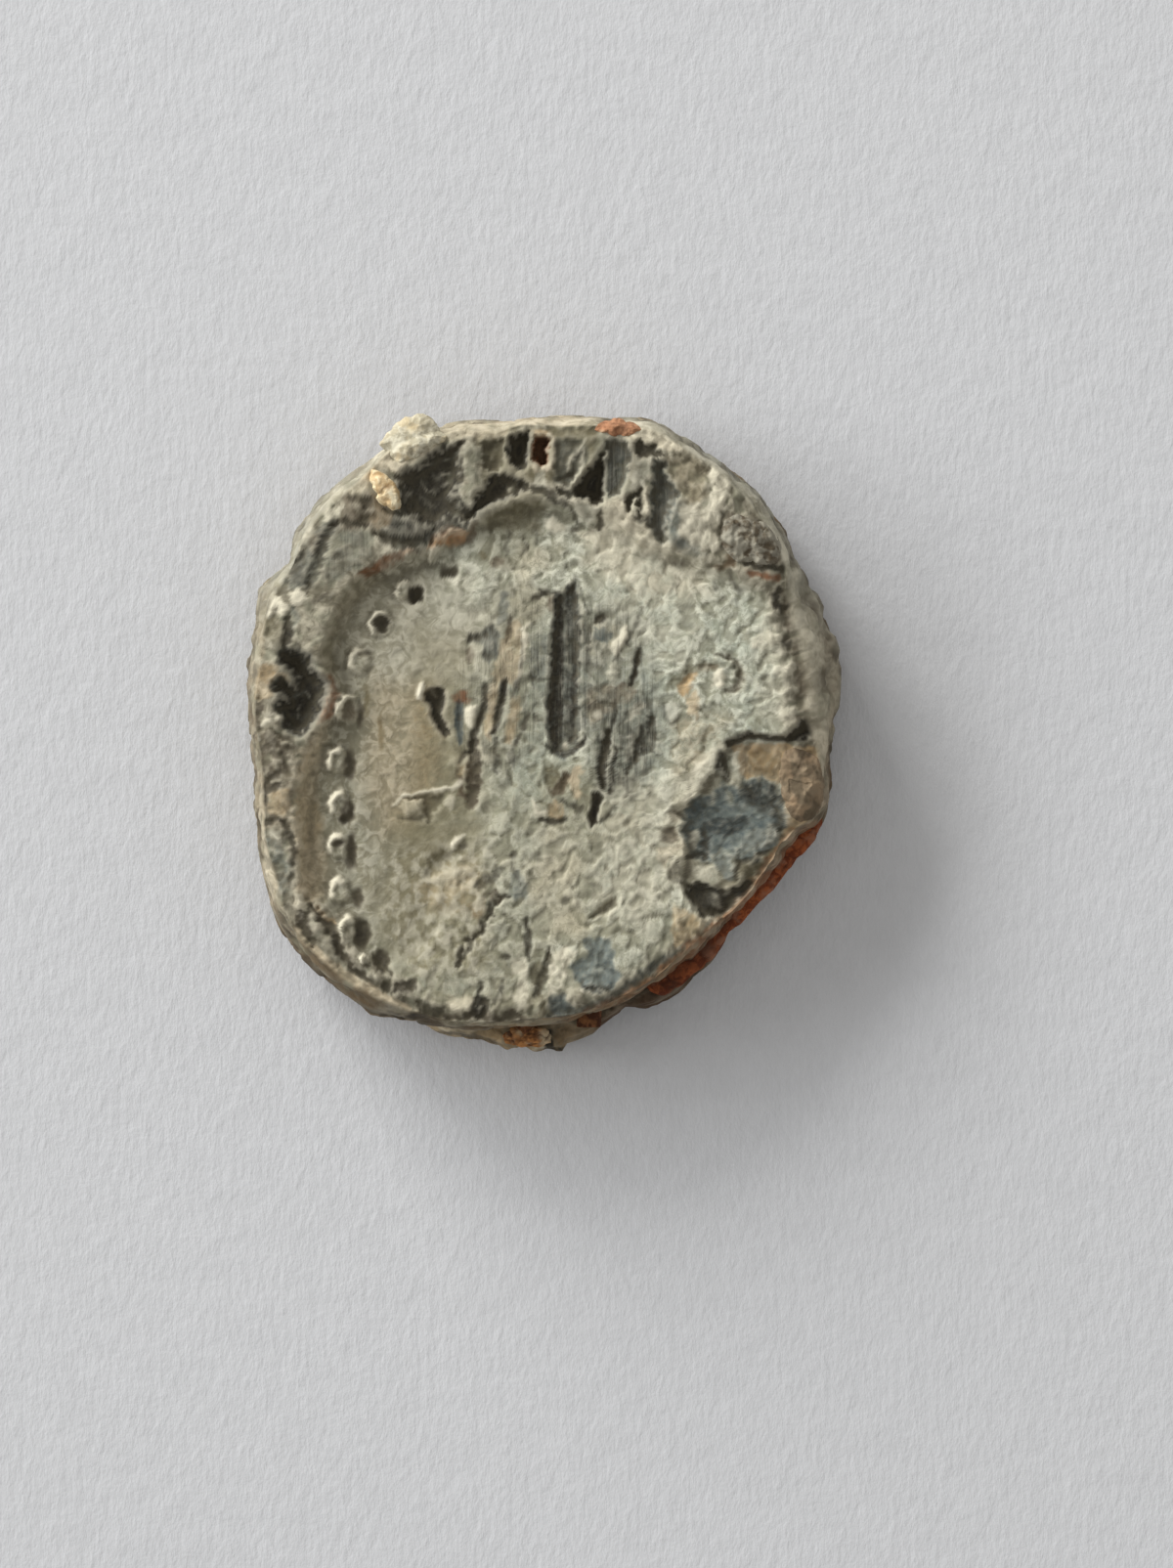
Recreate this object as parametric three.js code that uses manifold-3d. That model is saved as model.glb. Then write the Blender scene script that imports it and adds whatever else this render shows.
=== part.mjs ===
// Lead seal: a struck lead flan that closed two leaves over the legs of an iron tie wire.
// Millimetres, +Z up. The origin is on the surface that the seal lies on, under the middle of its outline,
// and +Y points to the head of the seal, where the tie wire enters.
import * as THREE from 'three';
import { mergeVertices } from 'three/addons/utils/BufferGeometryUtils.js';
import Module from 'manifold-3d';

// Driving dimensions
const sealWidth = 22.9; // across, left to right
const sealLength = 24.5; // along the tie, foot to head
const backThickness = 2.2; // back leaf
const fieldThickness = 1.9; // front leaf under the struck field
const rimHeight = 1.0; // displaced rim above the field
const crustHeight = 0.26; // white lead crust above the field
const crustEdgeX = -2.2; // where the crust begins, left of it the field is bare
const crustEdgeWidth = 2.4;
const rimSlope = 0.8; // width of the bank from the field up to the rim
const rimRounding = 0.2; // drop from the rim's top to the edge of the face
const footRounding = 0.15; // front leaf's lower corner
const seatInset = 1.5; // how far the flat that the seal lies on stays inside its outline
const seamGap = 0.05; // fit between any two pieces
const seamOpening = 0.75; // how far the leaves have sprung apart at the lower right
const seamOpeningDepth = 2.6; // how far that opening reaches in from the edge
const openingMiddle = 317; // degrees
const openingSpread = 34; // degrees to each side
const beadWidth = 0.9; // across the ring of beads
const beadLength = 1.15; // along it
const beadHeight = 0.3;
const wireWidth = 0.95; // each leg, flattened by the strike
const wireDepth = 0.75;
const wireEndInset = 0.5; // how far the broken ends stay inside the outline

// Resolution
const sectors = 96; // leaves
const wireSides = 12;
const wireSteps = 14;

// The seal's outline seen from above, in half widths and half lengths
const outlineShape = [
  [-0.37, 0.965], [-0.25, 0.97], [-0.1, 0.985], [0.02, 1.0], [0.16, 0.98], [0.34, 1.0],
  [0.46, 0.93], [0.58, 0.87], [0.68, 0.81], [0.78, 0.7], [0.83, 0.625], [0.87, 0.49],
  [0.93, 0.41], [0.97, 0.31], [1.0, 0.2], [0.97, 0.03], [0.98, -0.14], [0.95, -0.27],
  [0.88, -0.36], [0.77, -0.48], [0.61, -0.63], [0.55, -0.74], [0.45, -0.83], [0.34, -0.86],
  [0.2, -0.92], [0.09, -0.99], [-0.04, -1.0], [-0.2, -0.965], [-0.38, -0.93], [-0.58, -0.9],
  [-0.69, -0.8], [-0.84, -0.67], [-0.91, -0.56], [-0.95, -0.38], [-0.965, -0.15], [-0.975, 0.0],
  [-1.0, 0.13], [-0.97, 0.37], [-0.92, 0.5], [-0.87, 0.55], [-0.76, 0.7], [-0.64, 0.84],
  [-0.5, 0.92],
];

// Values that change round the seal are lists of [degrees, value], counted from +X towards +Y.
// Width of the flank from the edge of the face out to the outline
const flankWidth = [
  [0, 0.95], [10, 1.6], [22, 1.6], [32, 0.9], [48, 0.75], [64, 0.65], [76, 0.6], [96, 0.55],
  [116, 0.55], [132, 0.75], [144, 0.55], [152, 0.9], [162, 0.65], [178, 0.45], [204, 0.65], [216, 0.75],
  [228, 0.7], [240, 1.0], [248, 0.65], [256, 0.85], [268, 1.45], [280, 1.0], [288, 0.8], [296, 1.2],
  [304, 1.15], [314, 0.7], [326, 0.8], [336, 1.0], [344, 0.65], [352, 0.65],
];
// How far the front leaf's own foot stays inside the outline, where the back leaf or the rust shows beyond it
const frontSetBack = [
  [0, 0.05], [235, 0.05], [244, 0.2], [256, 0.45], [268, 1.1], [280, 0.8], [288, 0.55], [297, 0.9],
  [314, 0.45], [325, 0.4], [336, 0.65], [343, 0.15],
];
// How far the rust in the opening stands out past the front leaf's foot
const rustStandOut = [[285, 0.1], [304, 0.2], [318, 0.35], [336, 0.6], [343, 0.1]];
// Width of the rim, from the edge of the face in to the foot of its bank
const rimWidth = [
  [0, 1.25], [12, 1.1], [24, 1.1], [32, 1.4], [40, 2.5], [48, 3.25], [60, 4.0], [72, 4.0],
  [84, 3.4], [94, 3.3], [104, 3.7], [112, 4.2], [120, 4.3], [128, 3.8], [136, 3.4], [144, 2.9],
  [156, 2.9], [168, 3.3], [176, 3.2], [184, 2.3], [192, 1.9], [204, 1.6], [228, 1.5], [240, 1.3],
  [260, 1.2], [300, 1.2], [336, 1.3],
];
// Share of the rim's height that stands at each angle: full at the left and the head, low at the right
const rimShare = [
  [0, 0.3], [25, 0.35], [42, 0.6], [60, 0.85], [85, 1.0], [130, 1.0], [180, 0.95], [205, 0.85],
  [222, 0.65], [240, 0.5], [270, 0.36], [320, 0.28], [345, 0.28],
];

// Where the two legs of the tie cross the head and the foot of the seal
const leftLeg = { headX: -0.09, footX: -0.7 };
const rightLeg = { headX: 3.1, footX: 1.7 };

// Window in the rim through which the left leg shows: middle's distance in from the outline at the head
const wireWindow = { leg: leftLeg, inset: 1.45, width: 0.6, length: 1.15 };

// Struck beads: places of their middles along the part of the ring that met the flan
const beads = [
  [-3.9, 6.8], [-5.2, 5.4], [-6.2, 4.2], [-6.9, 2.7], [-7.4, 0.9], [-7.8, -1.0],
  [-7.8, -2.7], [-7.8, -4.3], [-7.7, -6.0], [-7.3, -7.4], [-6.7, -8.6], [-5.9, -9.4],
];

// Forms pressed, broken or scraped out of the face. Each is an outline seen from above, as [x, y], and a
// depth below the highest ground along it. flare widens it towards the top, where its sides slope.
const sunkForms = {
  hollowAtHead: {
    outline: [
      [-5.7, 9.8], [-4.6, 10.3], [-3.8, 10.9], [-2.9, 11.2], [-3.0, 9.7], [-3.2, 9.1], [-2.7, 8.5],
      [-2.9, 8.1], [-4.1, 7.6], [-5.0, 8.1], [-5.4, 9.0],
    ],
    depth: 0.5, flare: 1.12,
  },
  foldAtHead: {
    outline: [
      [-2.3, 9.4], [-1.9, 9.8], [-0.5, 9.5], [-0.4, 9.3], [-1.3, 8.9], [-2.7, 8.1], [-3.2, 8.0], [-2.5, 8.9],
    ],
    depth: 0.45, flare: 1.1,
  },
  foldOverBank: {
    outline: [[-3.2, 8.3], [-2.9, 7.9], [-4.2, 7.2], [-5.3, 6.9], [-6.3, 7.4], [-5.4, 7.5], [-4.3, 7.8]],
    depth: 0.35, flare: 1.05,
  },
  pitBesideWire: {
    outline: [[-1.3, 11.3], [-0.4, 11.5], [-0.4, 10.7], [-0.6, 10.0], [-1.3, 10.3], [-1.4, 11.0]],
    depth: 0.65, flare: 1.1,
  },
  deepHollow: {
    outline: [[2.3, 10.7], [2.4, 10.0], [2.3, 8.9], [1.7, 8.9], [1.2, 9.2], [1.7, 10.0]],
    depth: 0.8, flare: 1.1,
  },
  step: {
    outline: [[2.4, 11.2], [3.2, 11.1], [3.4, 10.4], [2.9, 9.0], [2.4, 9.0]],
    depth: 0.3, flare: 1.05,
  },
  longHollow: {
    outline: [[4.2, 10.3], [4.6, 10.3], [5.2, 9.1], [4.8, 8.2], [4.7, 7.4], [4.2, 7.6], [4.1, 9.3]],
    depth: 0.42, flare: 1.1,
  },
  smoothRecess: {
    outline: [[4.7, 10.4], [5.9, 10.5], [6.5, 10.1], [6.1, 9.1], [5.7, 8.5], [5.0, 9.2]],
    depth: 0.28, flare: 1.15,
  },
  pitAtLeft: {
    outline: [
      [-10.0, 3.2], [-8.8, 3.0], [-8.1, 1.9], [-8.1, 1.4], [-8.8, 0.2], [-9.5, -0.1], [-10.2, 0.9],
      [-10.2, 1.9], [-10.1, 2.4],
    ],
    depth: 0.75, flare: 1.15,
  },
  brokenEdge: {
    outline: [
      [7.1, -0.3], [9.3, -0.1], [9.9, 0.6], [11.4, 0.8], [11.4, -1.8], [11.1, -3.6], [9.8, -4.0],
      [8.2, -5.8], [6.8, -7.1], [5.5, -6.3], [5.4, -4.8], [5.0, -3.0], [6.2, -1.7], [6.8, -0.9],
    ],
    depth: 0.32, flare: 1.03,
  },
  slatePit: {
    outline: [
      [5.4, -2.8], [6.9, -1.9], [8.4, -1.7], [9.2, -2.7], [9.0, -4.1], [7.8, -4.8], [6.9, -5.2], [5.6, -4.4],
    ],
    depth: 0.55, flare: 1.1,
  },
  pitAtEdge: {
    outline: [[5.5, -5.7], [7.1, -6.0], [8.1, -5.6], [6.9, -6.9], [6.1, -7.0]],
    depth: 0.52, flare: 1.08,
  },
  mainScrape: {
    outline: [[0.4, 5.1], [0.7, 5.4], [0.9, 4.1], [1.0, 0.2], [0.8, -0.5], [0.2, 0.0], [0.2, 2.2]],
    depth: 0.28, flare: 1.03,
  },
  linedScrape: {
    outline: [[0.9, 5.4], [1.2, 5.7], [1.4, 4.1], [1.4, 0.8], [1.1, 0.2], [0.9, 0.4]],
    depth: 0.2, flare: 1.03,
  },
  rightScrape: {
    outline: [[3.6, 0.2], [4.3, 0.8], [4.4, -0.2], [3.9, -0.9], [3.2, -1.5], [3.5, -0.9]],
    depth: 0.14, flare: 1.03,
  },
  lowScrape: {
    outline: [[2.4, 0.1], [2.6, -0.5], [2.4, -2.1], [2.2, -1.7], [2.2, -1.1]],
    depth: 0.2, flare: 1.03,
  },
  notch: {
    outline: [[-4.3, 1.7], [-3.8, 1.7], [-3.8, 0.8], [-3.5, 0], [-4.0, 0.2], [-4.5, 1.4]],
    depth: 0.35, flare: 1.1,
  },
  longCut: {
    outline: [
      [-1.4, -6.0], [-1.6, -6.5], [-2.0, -7.2], [-2.6, -8.1], [-3.2, -9.0], [-3.5, -8.8], [-2.8, -7.8],
      [-2.3, -6.7], [-1.9, -6.2],
    ],
    depth: 0.22, flare: 1.03,
  },
  blotUnderScrape: {
    outline: [[1.9, -2.3], [2.3, -2.4], [2.1, -3.4], [1.7, -3.2]],
    depth: 0.25, flare: 1.05,
  },
  lowRecess: {
    outline: [[-3.0, -4.0], [-2.7, -4.4], [-3.5, -4.8], [-4.3, -5.4], [-4.6, -5.4], [-4.4, -4.9], [-3.6, -4.4]],
    depth: 0.16, flare: 1.05,
  },
  channelAtFoot: {
    outline: [
      [-9.4, -6.7], [-8.8, -6.6], [-8.1, -7.3], [-7.4, -8.5], [-6.9, -9.0], [-7.8, -8.4], [-8.7, -7.9],
    ],
    depth: 0.35, flare: 1.03,
  },
};

// Shallow hollows in the back leaf's underside: place, half sizes, turn in degrees, and depth
const undersideHollows = [
  { x: -6.0, y: 3.5, across: 1.6, along: 1.1, turn: 20, depth: 0.18 },
  { x: 4.8, y: 5.2, across: 1.3, along: 1.8, turn: -30, depth: 0.2 },
  { x: 5.9, y: -3.0, across: 1.5, along: 1.0, turn: 10, depth: 0.17 },
  { x: -4.2, y: -6.0, across: 1.8, along: 1.2, turn: 35, depth: 0.19 },
  { x: 1.2, y: -7.4, across: 1.2, along: 0.8, turn: 0, depth: 0.15 },
  { x: -1.0, y: 7.2, across: 1.4, along: 0.9, turn: -15, depth: 0.17 },
];

// Deposits that lie on the lead: angle and distance in from the edge of the face, half sizes, how far the
// middle lies under the face, turn in degrees
const deposits = [
  {
    name: 'cream_crust', angle: 112, inset: 0, across: 1.25, along: 0.95, height: 0.5, sink: 0.2, turn: 18,
    colour: 0xc9c3ad,
  },
  {
    name: 'tan_flake', angle: 122.6, inset: 0.45, across: 0.5, along: 0.85, height: 0.3, sink: 0.05, turn: 22,
    colour: 0xbd9f78,
  },
  {
    name: 'dark_scab', angle: 43.7, inset: 1.0, across: 1.25, along: 1.1, height: 0.48, sink: 0.26, turn: 25,
    colour: 0x5b5148,
  },
  {
    name: 'brown_earth', angle: 349.5, inset: 0.75, across: 0.85, along: 1.5, height: 0.42, sink: 0.45, turn: 0,
    colour: 0x84735b,
  },
  {
    name: 'rust_head', angle: 75.5, inset: 0.1, across: 0.85, along: 0.4, height: 0.35, sink: 0.18, turn: -12,
    colour: 0xa0603c,
  },
  {
    name: 'rust_foot', angle: 266.7, inset: -0.45, across: 0.95, along: 0.5, height: 0.6, sink: 0, turn: 3,
    colour: 0x96602f,
  },
];

const wasm = await Module();
wasm.setup();
const seamLevel = backThickness;
const fieldLevel = seamLevel + seamGap + fieldThickness;
const wireLevel = seamLevel + seamGap / 2;
const { degToRad, radToDeg } = THREE.MathUtils;
const { lerp, smoothstep } = THREE.MathUtils;

// Reads a [degrees, value] list at any angle, as a smooth closed curve.
function roundValue(list) {
  const turn = 360;
  const count = list.length;
  return (angle) => {
    const a = ((angle % turn) + turn) % turn;
    let i = count - 1;
    while (i > 0 && list[i][0] > a) i -= 1;
    const [from, low] = list[i];
    const [to, high] = i + 1 < count ? list[i + 1] : [list[0][0] + turn, list[0][1]];
    return lerp(low, high, smoothstep((a - from) / (to - from), 0, 1));
  };
}

// Distance from the seal's middle to its outline at any angle.
function outlineRadius() {
  const halfWidth = sealWidth / 2;
  const halfLength = sealLength / 2;
  const points = outlineShape.map(([x, y]) => new THREE.Vector3(x * halfWidth, y * halfLength, 0));
  const curve = new THREE.CatmullRomCurve3(points, true);
  const list = curve.getPoints(4 * outlineShape.length).map((p) => [
    (radToDeg(Math.atan2(p.y, p.x)) + 360) % 360,
    Math.hypot(p.x, p.y),
  ]);
  list.pop();
  list.sort((a, b) => a[0] - b[0]);
  return roundValue(list);
}

const outlineAt = outlineRadius();
const flankAt = roundValue(flankWidth);
const setBackAt = roundValue(frontSetBack);
const standOutAt = roundValue(rustStandOut);
const rimWidthAt = roundValue(rimWidth);
const rimShareAt = roundValue(rimShare);

const frontFootAt = (angle) => outlineAt(angle) - setBackAt(angle);
const faceEdgeAt = (angle) => outlineAt(angle) - Math.max(flankAt(angle), setBackAt(angle) + footRounding);
const bankStartAt = (angle) => faceEdgeAt(angle) - Math.max(rimWidthAt(angle), rimSlope + 2 * footRounding);
const rimTopAt = (angle) => fieldLevel + Math.max(rimHeight * rimShareAt(angle), crustHeight);

// The opening between the leaves is widest at its middle and closes to both sides.
const openingAt = (angle) => {
  const away = Math.abs(angle - openingMiddle) / openingSpread;
  return seamOpening * (1 - smoothstep(away, 0.35, 1));
};
const footLevelAt = (angle) => seamLevel + seamGap + openingAt(angle);

// Height of the struck field: bare at the left, white crust over the rest.
function fieldHeight(x, y) {
  const cover = smoothstep(x, crustEdgeX - crustEdgeWidth / 2, crustEdgeX + crustEdgeWidth / 2);
  const swell = 0.15 * crustHeight * Math.sin(1.1 * x + 0.6) * Math.cos(0.9 * y - 0.4);
  return fieldLevel + (crustHeight + swell) * cover;
}

// Height of the front leaf's upper side at any place, before its beads, hollows and grooves.
function surfaceHeight(angle, radius) {
  const bankStart = bankStartAt(angle);
  const bankEnd = bankStart + rimSlope;
  const edge = faceEdgeAt(angle);
  const edgeLevel = rimTopAt(angle) - rimRounding;
  const turn = degToRad(angle);
  if (radius <= bankStart) return fieldHeight(radius * Math.cos(turn), radius * Math.sin(turn));
  if (radius <= bankEnd) {
    const start = surfaceHeight(angle, bankStart);
    return lerp(start, rimTopAt(angle), (radius - bankStart) / rimSlope);
  }
  if (radius <= edge) return lerp(rimTopAt(angle), edgeLevel, ((radius - bankEnd) / (edge - bankEnd)) ** 2);
  return lerp(edgeLevel, footLevelAt(angle), Math.min(1, (radius - edge) / (frontFootAt(angle) - edge)));
}

// A ring of points round the seal, from a function of the angle that gives a radius and a height.
function ring(place) {
  const points = [];
  for (let i = 0; i < sectors; i += 1) {
    const angle = (360 * i) / sectors;
    const [radius, z] = place(angle);
    points.push([radius * Math.cos(degToRad(angle)), radius * Math.sin(degToRad(angle)), z]);
  }
  return points;
}

// A closed body through rings that run from the top's middle, over the edge, to the bottom's middle.
function bodyThroughRings(topMiddle, rings, bottomMiddle) {
  const vertices = [topMiddle, ...rings.flat(), bottomMiddle];
  const at = (r, i) => 1 + r * sectors + (i % sectors);
  const last = vertices.length - 1;
  const faces = [];
  for (let i = 0; i < sectors; i += 1) {
    faces.push(0, at(0, i), at(0, i + 1));
    for (let r = 0; r + 1 < rings.length; r += 1) {
      faces.push(at(r, i), at(r + 1, i), at(r + 1, i + 1));
      faces.push(at(r, i), at(r + 1, i + 1), at(r, i + 1));
    }
    faces.push(last, at(rings.length - 1, i + 1), at(rings.length - 1, i));
  }
  const geometry = new THREE.BufferGeometry();
  geometry.setAttribute('position', new THREE.Float32BufferAttribute(vertices.flat(), 3));
  geometry.setIndex(faces);
  return solid(geometry);
}

// Turns a closed three.js geometry into a solid that can be joined and cut.
function solid(geometry) {
  const plain = geometry.clone();
  ['normal', 'uv'].forEach((name) => plain.deleteAttribute(name));
  const merged = mergeVertices(plain, 1e-4);
  return new wasm.Manifold(
    new wasm.Mesh({
      numProp: 3,
      vertProperties: new Float32Array(merged.attributes.position.array),
      triVerts: new Uint32Array(merged.index.array),
    }),
  );
}

function mesh(name, body, material) {
  const made = body.getMesh();
  const geometry = new THREE.BufferGeometry();
  geometry.setAttribute('position', new THREE.BufferAttribute(made.vertProperties, 3));
  geometry.setIndex(new THREE.BufferAttribute(made.triVerts, 1));
  geometry.computeVertexNormals();
  const part = new THREE.Mesh(geometry, material);
  part.name = name;
  return part;
}

// Front leaf: struck field, bank, rim, flank and the underside that lies on the back leaf.
// grow makes the same leaf a little larger all round, to cut what lies against it.
function frontLeafBody(grow = 0) {
  const onTop = (radiusAt, out = 0) =>
    ring((angle) => [radiusAt(angle) + out, surfaceHeight(angle, radiusAt(angle)) + grow]);
  const fieldShares = [0.25, 0.48, 0.68, 0.85, 1];
  const underside = seamLevel + seamGap - grow;
  const rings = [
    ...fieldShares.map((share) => onTop((angle) => share * bankStartAt(angle))),
    onTop((angle) => bankStartAt(angle) + rimSlope),
    onTop((angle) => lerp(bankStartAt(angle) + rimSlope, faceEdgeAt(angle), 0.6)),
    onTop(faceEdgeAt, grow),
    ring((angle) => [
      lerp(faceEdgeAt(angle), frontFootAt(angle), 0.75) + grow,
      lerp(rimTopAt(angle) - rimRounding, footLevelAt(angle), 0.55),
    ]),
    ring((angle) => [frontFootAt(angle) + grow, footLevelAt(angle) + 2 * footRounding]),
    ring((angle) => [frontFootAt(angle) - footRounding + grow, footLevelAt(angle) - grow]),
    ring((angle) => [frontFootAt(angle) - seamOpeningDepth, underside]),
    ring((angle) => [0.4 * frontFootAt(angle), underside]),
  ];
  return bodyThroughRings([0, 0, fieldHeight(0, 0) + grow], rings, [0, 0, underside]);
}

// Back leaf: rounded edge, and the flat that the seal lies on.
function backLeafBody(grow = 0) {
  const top = seamLevel + grow;
  const rings = [
    ring((angle) => [0.4 * outlineAt(angle), top]),
    ring((angle) => [outlineAt(angle) - seamOpeningDepth, top]),
    ring((angle) => [outlineAt(angle) - 0.25 + grow, top - 0.12]),
    ring((angle) => [outlineAt(angle) + grow, 0.62 * backThickness]),
    ring((angle) => [outlineAt(angle) - 0.3 * seatInset + grow, 0.24 * backThickness]),
    ring((angle) => [outlineAt(angle) - seatInset + grow, -grow]),
    ring((angle) => [0.45 * outlineAt(angle), -grow]),
  ];
  return bodyThroughRings([0, 0, top], rings, [0, 0, -grow]);
}

// Place of a leg's centre at a distance along the seal.
const legX = (leg, y) => lerp(leg.footX, leg.headX, y / sealLength + 0.5);

const headAngle = (leg) => radToDeg(Math.atan2(sealLength / 2, leg.headX));
const footAngle = (leg) => radToDeg(Math.atan2(-sealLength / 2, leg.footX));
const headY = (leg) => outlineAt(headAngle(leg)) * Math.sin(degToRad(headAngle(leg)));
const footY = (leg) => outlineAt(footAngle(leg)) * Math.sin(degToRad(footAngle(leg)));

// One leg of the tie wire: an oval bar along its own line, a little thinner where rust has eaten it.
// reach carries the bar past both ends, to cut the channel that it lies in.
function wireLegBody(leg, grow = 0, reach = -wireEndInset) {
  const low = footY(leg) - reach;
  const high = headY(leg) + reach;
  const outline = new THREE.Shape();
  outline.absellipse(0, 0, wireWidth / 2 + grow, wireDepth / 2 + grow, 0, Math.PI * 2);
  const section = new THREE.Shape(outline.getSpacedPoints(wireSides).slice(0, wireSides));
  const bar = new THREE.ExtrudeGeometry(section, { depth: high - low, steps: wireSteps, bevelEnabled: false });
  const points = bar.getAttribute('position');
  for (let i = 0; i < points.count; i += 1) {
    const y = low + points.getZ(i);
    const eaten = grow > 0 ? 1 : 0.96 + 0.04 * Math.sin(2.3 * y) * Math.cos(5.1 * y + leg.headX);
    points.setXYZ(i, legX(leg, y) + points.getX(i) * eaten, y, wireLevel - points.getY(i) * eaten);
  }
  return solid(bar);
}

// An upright-walled hole with rounded ends, from the wire up through the rim.
function windowBody({ leg, inset, width, length }) {
  const y = headY(leg) - inset;
  const outline = new THREE.Shape();
  outline.absellipse(0, 0, width / 2, length / 2, 0, Math.PI * 2);
  const depth = fieldThickness + 2 * (rimHeight + crustHeight);
  const hole = new THREE.ExtrudeGeometry(outline, { depth, bevelEnabled: false, curveSegments: 8 });
  hole.translate(legX(leg, y), y, wireLevel);
  return solid(hole);
}

// An ellipsoid with the given half sizes, turned about the upright through its middle.
// uneven pushes its surface in and out, as a share of its size.
function ellipsoid([x, y, z], [across, along, height], turn, detail, uneven = 0) {
  const ball = new THREE.IcosahedronGeometry(1, detail);
  const points = ball.getAttribute('position');
  for (let i = 0; i < points.count; i += 1) {
    const [px, py, pz] = [points.getX(i), points.getY(i), points.getZ(i)];
    const broad = Math.sin(4.1 * px + x) * Math.cos(3.7 * py + y);
    const fine = Math.sin(9 * py + 5 * pz);
    const swell = 1 + uneven * (broad + fine / 2);
    points.setXYZ(i, px * swell, py * swell, pz * swell);
  }
  ball.scale(across, along, height);
  ball.rotateZ(degToRad(turn));
  ball.translate(x, y, z);
  return solid(ball);
}

// The point of the front leaf's upper side at an angle, a distance in from the edge of its face.
function onRim(angle, inset) {
  const radius = faceEdgeAt(angle) - inset;
  return [radius * Math.cos(degToRad(angle)), radius * Math.sin(degToRad(angle)), surfaceHeight(angle, radius)];
}

function onField(x, y) {
  return [x, y, fieldHeight(x, y)];
}

// Height of the front leaf's upper side at a place, before its beads and sunk forms.
function groundAt([x, y]) {
  const angle = radToDeg(Math.atan2(y, x));
  return surfaceHeight((angle + 360) % 360, Math.min(Math.hypot(x, y), faceEdgeAt(angle)));
}

// A sunk form: its outline from a flat floor up past the rim, wider by its flare at the level of its outline.
function sunkBody({ outline, depth, flare }, grow) {
  const middleX = outline.reduce((sum, [x]) => sum + x, 0) / outline.length;
  const middleY = outline.reduce((sum, [, y]) => sum + y, 0) / outline.length;
  const floor = Math.max(...outline.map(groundAt)) - depth + grow;
  const height = depth + rimHeight;
  const shape = new THREE.Shape(outline.map(([x, y]) => new THREE.Vector2(x - middleX, y - middleY)));
  const prism = new THREE.ExtrudeGeometry(shape, { depth: height, bevelEnabled: false });
  const points = prism.getAttribute('position');
  const reach = Math.max(...outline.map(([x, y]) => Math.hypot(x - middleX, y - middleY)));
  const shrink = 1 - grow / reach;
  for (let i = 0; i < points.count; i += 1) {
    const spread = shrink * (1 + ((flare - 1) * points.getZ(i)) / depth);
    points.setXY(i, points.getX(i) * spread, points.getY(i) * spread);
  }
  prism.translate(middleX, middleY, floor);
  return solid(prism);
}

function beadBodies() {
  return beads.map(([x, y]) => {
    const turn = radToDeg(Math.atan2(y, x));
    return ellipsoid(onField(x, y), [beadWidth / 2, beadLength / 2, beadHeight], turn, 2);
  });
}

function undersideHollowBody({ x, y, across, along, turn, depth }) {
  return ellipsoid([x, y, 0], [across, along, depth], turn, 2);
}

function subtractAll(body, cuts) {
  return cuts.reduce((left, cut) => left.subtract(cut), body);
}

function largestBody(body) {
  return body.decompose().reduce((a, b) => (a.volume() > b.volume() ? a : b));
}

// The front leaf's face as struck, pressed and scraped. grow is as for its plain body.
function frontFace(grow = 0) {
  const face = beadBodies().reduce((joined, bead) => joined.add(bead), frontLeafBody(grow));
  return subtractAll(face, Object.values(sunkForms).map((form) => sunkBody(form, grow)));
}

const channels = () => [leftLeg, rightLeg].map((leg) => wireLegBody(leg, seamGap, wireEndInset));

function frontLeaf() {
  return largestBody(subtractAll(frontFace(), [...channels(), windowBody(wireWindow)]));
}

function backLeaf() {
  return subtractAll(backLeafBody(), [...channels(), ...undersideHollows.map(undersideHollowBody)]);
}

// Rust that fills the opening between the leaves and stands a little proud of the front leaf.
function rustSeamBody() {
  const angles = [];
  for (let i = 0; i < sectors; i += 1) {
    const angle = (360 * i) / sectors;
    if (openingAt(angle) > 0.3 * seamOpening) angles.push(angle);
  }
  const floor = seamLevel + seamGap;
  // The top runs under the front leaf's sloping underside, from well inside out to its foot.
  const section = (angle) => {
    const foot = frontFootAt(angle);
    const underside = (share) => [
      lerp(foot - seamOpeningDepth, foot - footRounding, share),
      floor + openingAt(angle) * share - seamGap,
    ];
    const nose = foot + standOutAt(angle);
    return [
      underside(0.55),
      underside(1),
      [nose, floor + 0.5 * openingAt(angle)],
      [nose - 0.1, floor],
      [underside(0.55)[0], floor],
    ];
  };
  const columns = angles.map((angle) =>
    section(angle).map(([radius, z]) => [
      radius * Math.cos(degToRad(angle)),
      radius * Math.sin(degToRad(angle)),
      z,
    ]),
  );
  const side = columns[0].length;
  const faces = [];
  for (let c = 0; c + 1 < columns.length; c += 1) {
    for (let k = 0; k < side; k += 1) {
      const a = c * side + k;
      const b = c * side + ((k + 1) % side);
      faces.push(a, b, b + side, a, b + side, a + side);
    }
  }
  const end = (columns.length - 1) * side;
  for (let k = 1; k + 1 < side; k += 1) {
    faces.push(0, k + 1, k, end, end + k, end + k + 1);
  }
  const geometry = new THREE.BufferGeometry();
  geometry.setAttribute('position', new THREE.Float32BufferAttribute(columns.flat(2), 3));
  geometry.setIndex(faces);
  return solid(geometry);
}

// A deposit lies on the lead: whatever it lies against, grown by the fit between pieces, is cut out of it.
function depositBody({ angle, inset, across, along, height, sink, turn }, cutters) {
  const [x, y, z] = onRim(angle, inset);
  const lump = ellipsoid([x, y, z - sink], [across, along, height], turn, 3, 0.1);
  return largestBody(subtractAll(lump, cutters));
}

function finish(colour, roughness, metalness) {
  return new THREE.MeshStandardMaterial({ color: colour, roughness, metalness });
}

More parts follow.
